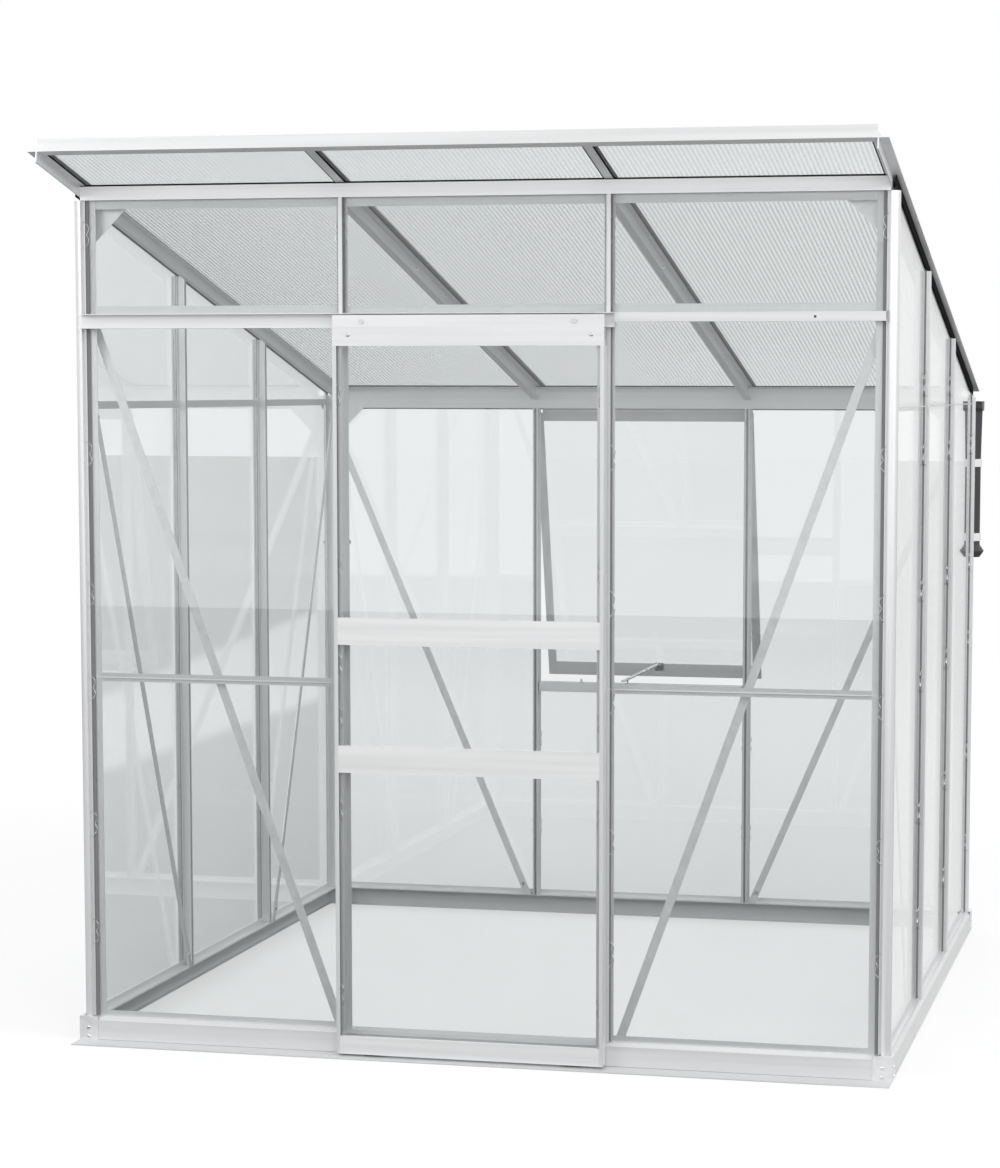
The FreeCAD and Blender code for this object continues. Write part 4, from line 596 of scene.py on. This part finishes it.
def clip_curve(name, clips, body):
    """One curve with a wire clip at each place: wall, start, facing, outward place and height."""
    curve = bpy.data.curves.new(name, "CURVE")
    curve.dimensions = "3D"
    curve.bevel_depth = WIRE
    curve.bevel_resolution = 2
    curve.resolution_u = 5
    for wall, start, facing, face, height in clips:
        spline = curve.splines.new("NURBS")
        spline.points.add(len(CLIP_LINE) - 1)
        for point, (across, out, up) in zip(spline.points, CLIP_LINE):
            spot = wall_point(wall, start + facing * across, face + out, height + up)
            point.co = (*spot, 1)
        spline.use_endpoint_u = True
        spline.order_u = 3
    return tagged(new_object(name, curve), body, steel)


def wall_clips(wall):
    """Places of the clips of one wall; each gable pane has one more just above its foot."""
    clips = []
    for place, bays, foot, top in FIELDS:
        if place != wall:
            continue
        for start, facing, seal in pane_edges(bays):
            if seal is POST_SEAL:
                edge = start + facing * POST_REACH
            else:
                edge = start
            heights = [height for height in WALL_CLIPS
                       if foot + CLIP_MARGIN < height < top(start) - CLIP_MARGIN]
            if top is verge_foot:
                heights.append(foot + GABLE_CLIP)
            clips += [(wall, edge, facing, GLASS_OUT, height) for height in heights]
    return clips


for wall in WALLS:
    clip_curve("clips_" + wall, wall_clips(wall), "frame")
clip_curve("clips_door", [("front", start, facing, DOOR_GLASS, height)
                          for start, facing in DOOR_EDGES for height in DOOR_CLIPS], "door")

# Pan screws: rings round the axis, each a share of the radius and of the height
SCREW_SIDES = 24
SCREW_RINGS = ((1.0, 0.0), (0.98, 0.35), (0.85, 0.75), (0.62, 0.97), (0.5, 1.0))
RECESS = ((0.42, 0.98), (0.40, 0.45))
SCREW_RADIUS = 0.0048
SCREW_HEIGHT = 0.0026


def circle(angle):
    """Reach of a circle's outline at an angle, as a share of its radius."""
    return 1.0


def hexagon(angle):
    """Reach of a hexagon's outline at an angle, as a share of its corner."""
    third = math.pi / 3
    return math.cos(third / 2) / math.cos(angle % third - third / 2)


def add_screw(build, centre, normal):
    """A domed screw head with a hexagon recess, standing on a face."""
    axis = Vector(normal).normalized()
    side = axis.orthogonal().normalized()
    other = axis.cross(side)
    rings = []
    for profile, shape in ((SCREW_RINGS, circle), (RECESS, hexagon)):
        for reach, rise in profile:
            ring = []
            for step in range(SCREW_SIDES):
                angle = 2 * math.pi * step / SCREW_SIDES
                arm = SCREW_RADIUS * reach * shape(angle)
                spot = side * (arm * math.cos(angle)) + other * (arm * math.sin(angle))
                ring.append(build.verts.new(centre + spot + axis * (SCREW_HEIGHT * rise)))
            rings.append(ring)
    for ring, after in zip(rings, rings[1:]):
        for step in range(SCREW_SIDES):
            turn = (step + 1) % SCREW_SIDES
            build.faces.new((ring[step], ring[turn], after[turn], after[step]))
    build.faces.new(rings[-1])
    build.faces.new(rings[0][::-1])


PLATE_OUT = 0.0315
PLATE_SCREWS = (0.010, 0.031)
PLATE_INSET = 0.008
DOOR_SCREWS = (-0.281, 0.280)
DOOR_SCREW_OUT = 0.064
DOOR_SCREW_HEIGHT = 1.653


def frame_screws(build):
    """Two screws in each face of each corner plate."""
    for wall in WALLS:
        normal = wall_point(wall, 0, 1, 0) - wall_point(wall, 0, 0, 0)
        for side in (-1, 1):
            for height in PLATE_SCREWS:
                add_screw(build, wall_point(wall, side * (HALF + PLATE_INSET), PLATE_OUT, height),
                          normal)


def door_screws(build):
    """Two screws that hold the door head to the stiles."""
    for along in DOOR_SCREWS:
        add_screw(build, wall_point("front", along, DOOR_SCREW_OUT, DOOR_SCREW_HEIGHT), (0, -1, 0))


tagged(mesh_object("frame_screws", frame_screws), "frame", steel)
tagged(mesh_object("door_screws", door_screws), "door", steel)

# Floor: a large rectangle; its far edges give the level lines that the glass mirrors
FLOOR_SIDE = 40.0
FLOOR_FRONT = -14.0
FLOOR_BACK = 56.0
FLOOR_TONE = 0.45
MIRRORED_TONE = 0.2
NEAR_GLOW = 0.56
FAR_GLOW = 0.66
NEAR = 2.5
FAR = 7.0

# A brighter lane on the floor beside the right wall, which widens towards the back; only mirrored
# rays see it, so it is a painted reflection in the glass
LANE_REFLECTION_GLOW = 0.74
LANE_EDGE = 0.95
LANE_WIDTH = 0.3
LANE_SPREAD = 0.125
LANE_SOFT = 0.15


def floor_plane(build):
    """One large rectangle under the house."""
    corners = ((-FLOOR_SIDE, FLOOR_FRONT), (FLOOR_SIDE, FLOOR_FRONT),
               (FLOOR_SIDE, FLOOR_BACK), (-FLOOR_SIDE, FLOOR_BACK))
    build.faces.new([build.verts.new((x, y, 0)) for x, y in corners])


def floor_glow(tree, path):
    """Strength of the floor's glow: for the background, and in the lane for mirrored rays, as a
    painted reflection.
    """
    place = add_node(tree, "ShaderNodeTexCoord")
    split = add_node(tree, "ShaderNodeSeparateXYZ")
    tree.links.new(place.outputs["Object"], split.inputs["Vector"])
    distance = add_node(tree, "ShaderNodeVectorMath", operation="LENGTH")
    tree.links.new(place.outputs["Object"], distance.inputs[0])
    seen = combined(tree, "MAXIMUM", path.outputs["Is Camera Ray"],
                    path.outputs["Is Transmission Ray"])
    glow = spread(tree, distance.outputs["Value"], NEAR_GLOW, FAR_GLOW, NEAR, FAR)
    outer = combined(tree, "MULTIPLY_ADD", split.outputs["Y"], LANE_SPREAD,
                     LANE_EDGE + LANE_WIDTH)
    beyond = combined(tree, "SUBTRACT", outer, split.outputs["X"])
    inside = spread(tree, split.outputs["X"], 0.0, LANE_REFLECTION_GLOW, LANE_EDGE - LANE_SOFT, LANE_EDGE)
    # The lane glows only for mirrored rays: a painted reflection in the glass
    lane = combined(tree, "MULTIPLY", inside, spread(tree, beyond, 0.0, 1.0, 0.0, LANE_SOFT))
    return combined(tree, "ADD", combined(tree, "MULTIPLY", seen, glow),
                    combined(tree, "MULTIPLY", path.outputs["Is Glossy Ray"], lane))


def floor_material():
    """Pale floor: it is lit, it keeps the shadow, and it glows."""
    paint, tree, output = node_material("floor")
    path = add_node(tree, "ShaderNodeLightPath")
    body = add_node(tree, "ShaderNodeBsdfDiffuse")
    tone = spread(tree, path.outputs["Is Glossy Ray"], FLOOR_TONE, MIRRORED_TONE, 0.0, 1.0)
    tree.links.new(tone, body.inputs["Color"])
    light = add_node(tree, "ShaderNodeEmission", Color=WHITE)
    tree.links.new(floor_glow(tree, path), light.inputs["Strength"])
    both = add_node(tree, "ShaderNodeAddShader")
    tree.links.new(body.outputs["BSDF"], both.inputs[0])
    tree.links.new(light.outputs["Emission"], both.inputs[1])
    tree.links.new(both.outputs["Shader"], output.inputs["Surface"])
    return paint


floor = mesh_object("floor", floor_plane)
floor.data.materials.append(floor_material())

# White surround: full for the rays that look at it, weaker as a light
WORLD_SHARE = 0.75


def white_surround():
    """A white world background."""
    world = bpy.data.worlds.new("surround")
    world.use_nodes = True
    tree = world.node_tree
    tree.nodes.clear()
    output = add_node(tree, "ShaderNodeOutputWorld")
    background = add_node(tree, "ShaderNodeBackground", Color=WHITE)
    path = add_node(tree, "ShaderNodeLightPath")
    seen = combined(tree, "MAXIMUM", path.outputs["Is Camera Ray"], path.outputs["Is Glossy Ray"])
    seen = combined(tree, "MAXIMUM", seen, path.outputs["Is Transmission Ray"])
    strength = spread(tree, seen, WORLD_SHARE, 1.0, 0.0, 1.0)
    tree.links.new(strength, background.inputs["Strength"])
    tree.links.new(background.outputs["Background"], output.inputs["Surface"])
    return world


bpy.context.scene.world = white_surround()

# Soft lamps, outside the places that the front glass mirrors: name, place and power
LAMP_SIZE = 4.0
LAMP_AIM = Vector((0, 0, 1))
LAMPS = (
    ("lamp_key", Vector((-5.8, -6.5, 4.2)), 190),
    ("lamp_front", Vector((3.2, -8.0, 4.0)), 140),
    ("lamp_side", Vector((6.0, -3.0, 3.5)), 130),
    ("lamp_back", Vector((1.0, 6.0, 5.0)), 60),
)


def add_lamp(name, place, power):
    """A soft square lamp, aimed at the house."""
    light = bpy.data.lights.new(name, "AREA")
    light.shape = "SQUARE"
    light.size = LAMP_SIZE
    light.energy = power
    thing = new_object(name, light)
    thing.location = place
    thing.rotation_euler = (LAMP_AIM - place).to_track_quat("-Z", "Y").to_euler()


for name, place, power in LAMPS:
    add_lamp(name, place, power)

# Camera: where the photograph was taken from
CAMERA_PLACE = Vector((1.69813, FRONT - 6.44941, 1.53347))
CAMERA_RIGHT = Vector((0.97587, 0.21834, 0.00171))
CAMERA_UP = Vector((-0.02255, 0.09303, 0.99541))
FOCAL_PIXELS = 2945.1
PHOTO_WIDTH = 1000
PHOTO_HEIGHT = 1168
CENTRE_PIXEL = (586.6, 671.8)
SENSOR = 36.0


def photo_camera():
    """The camera of the photograph, with its centre shifted as in the photograph."""
    view = bpy.data.cameras.new("camera")
    view.sensor_width = SENSOR
    view.lens = FOCAL_PIXELS * SENSOR / PHOTO_HEIGHT
    view.shift_x = (PHOTO_WIDTH / 2 - CENTRE_PIXEL[0]) / PHOTO_HEIGHT
    view.shift_y = (CENTRE_PIXEL[1] - PHOTO_HEIGHT / 2) / PHOTO_HEIGHT
    right = CAMERA_RIGHT.normalized()
    backwards = right.cross(CAMERA_UP).normalized()
    upwards = backwards.cross(right)
    turn = Matrix((right, upwards, backwards)).transposed()
    camera = new_object("camera", view)
    camera.matrix_world = Matrix.Translation(CAMERA_PLACE) @ turn.to_4x4()
    return camera


bpy.context.scene.camera = photo_camera()
bpy.context.scene.view_settings.view_transform = "Standard"
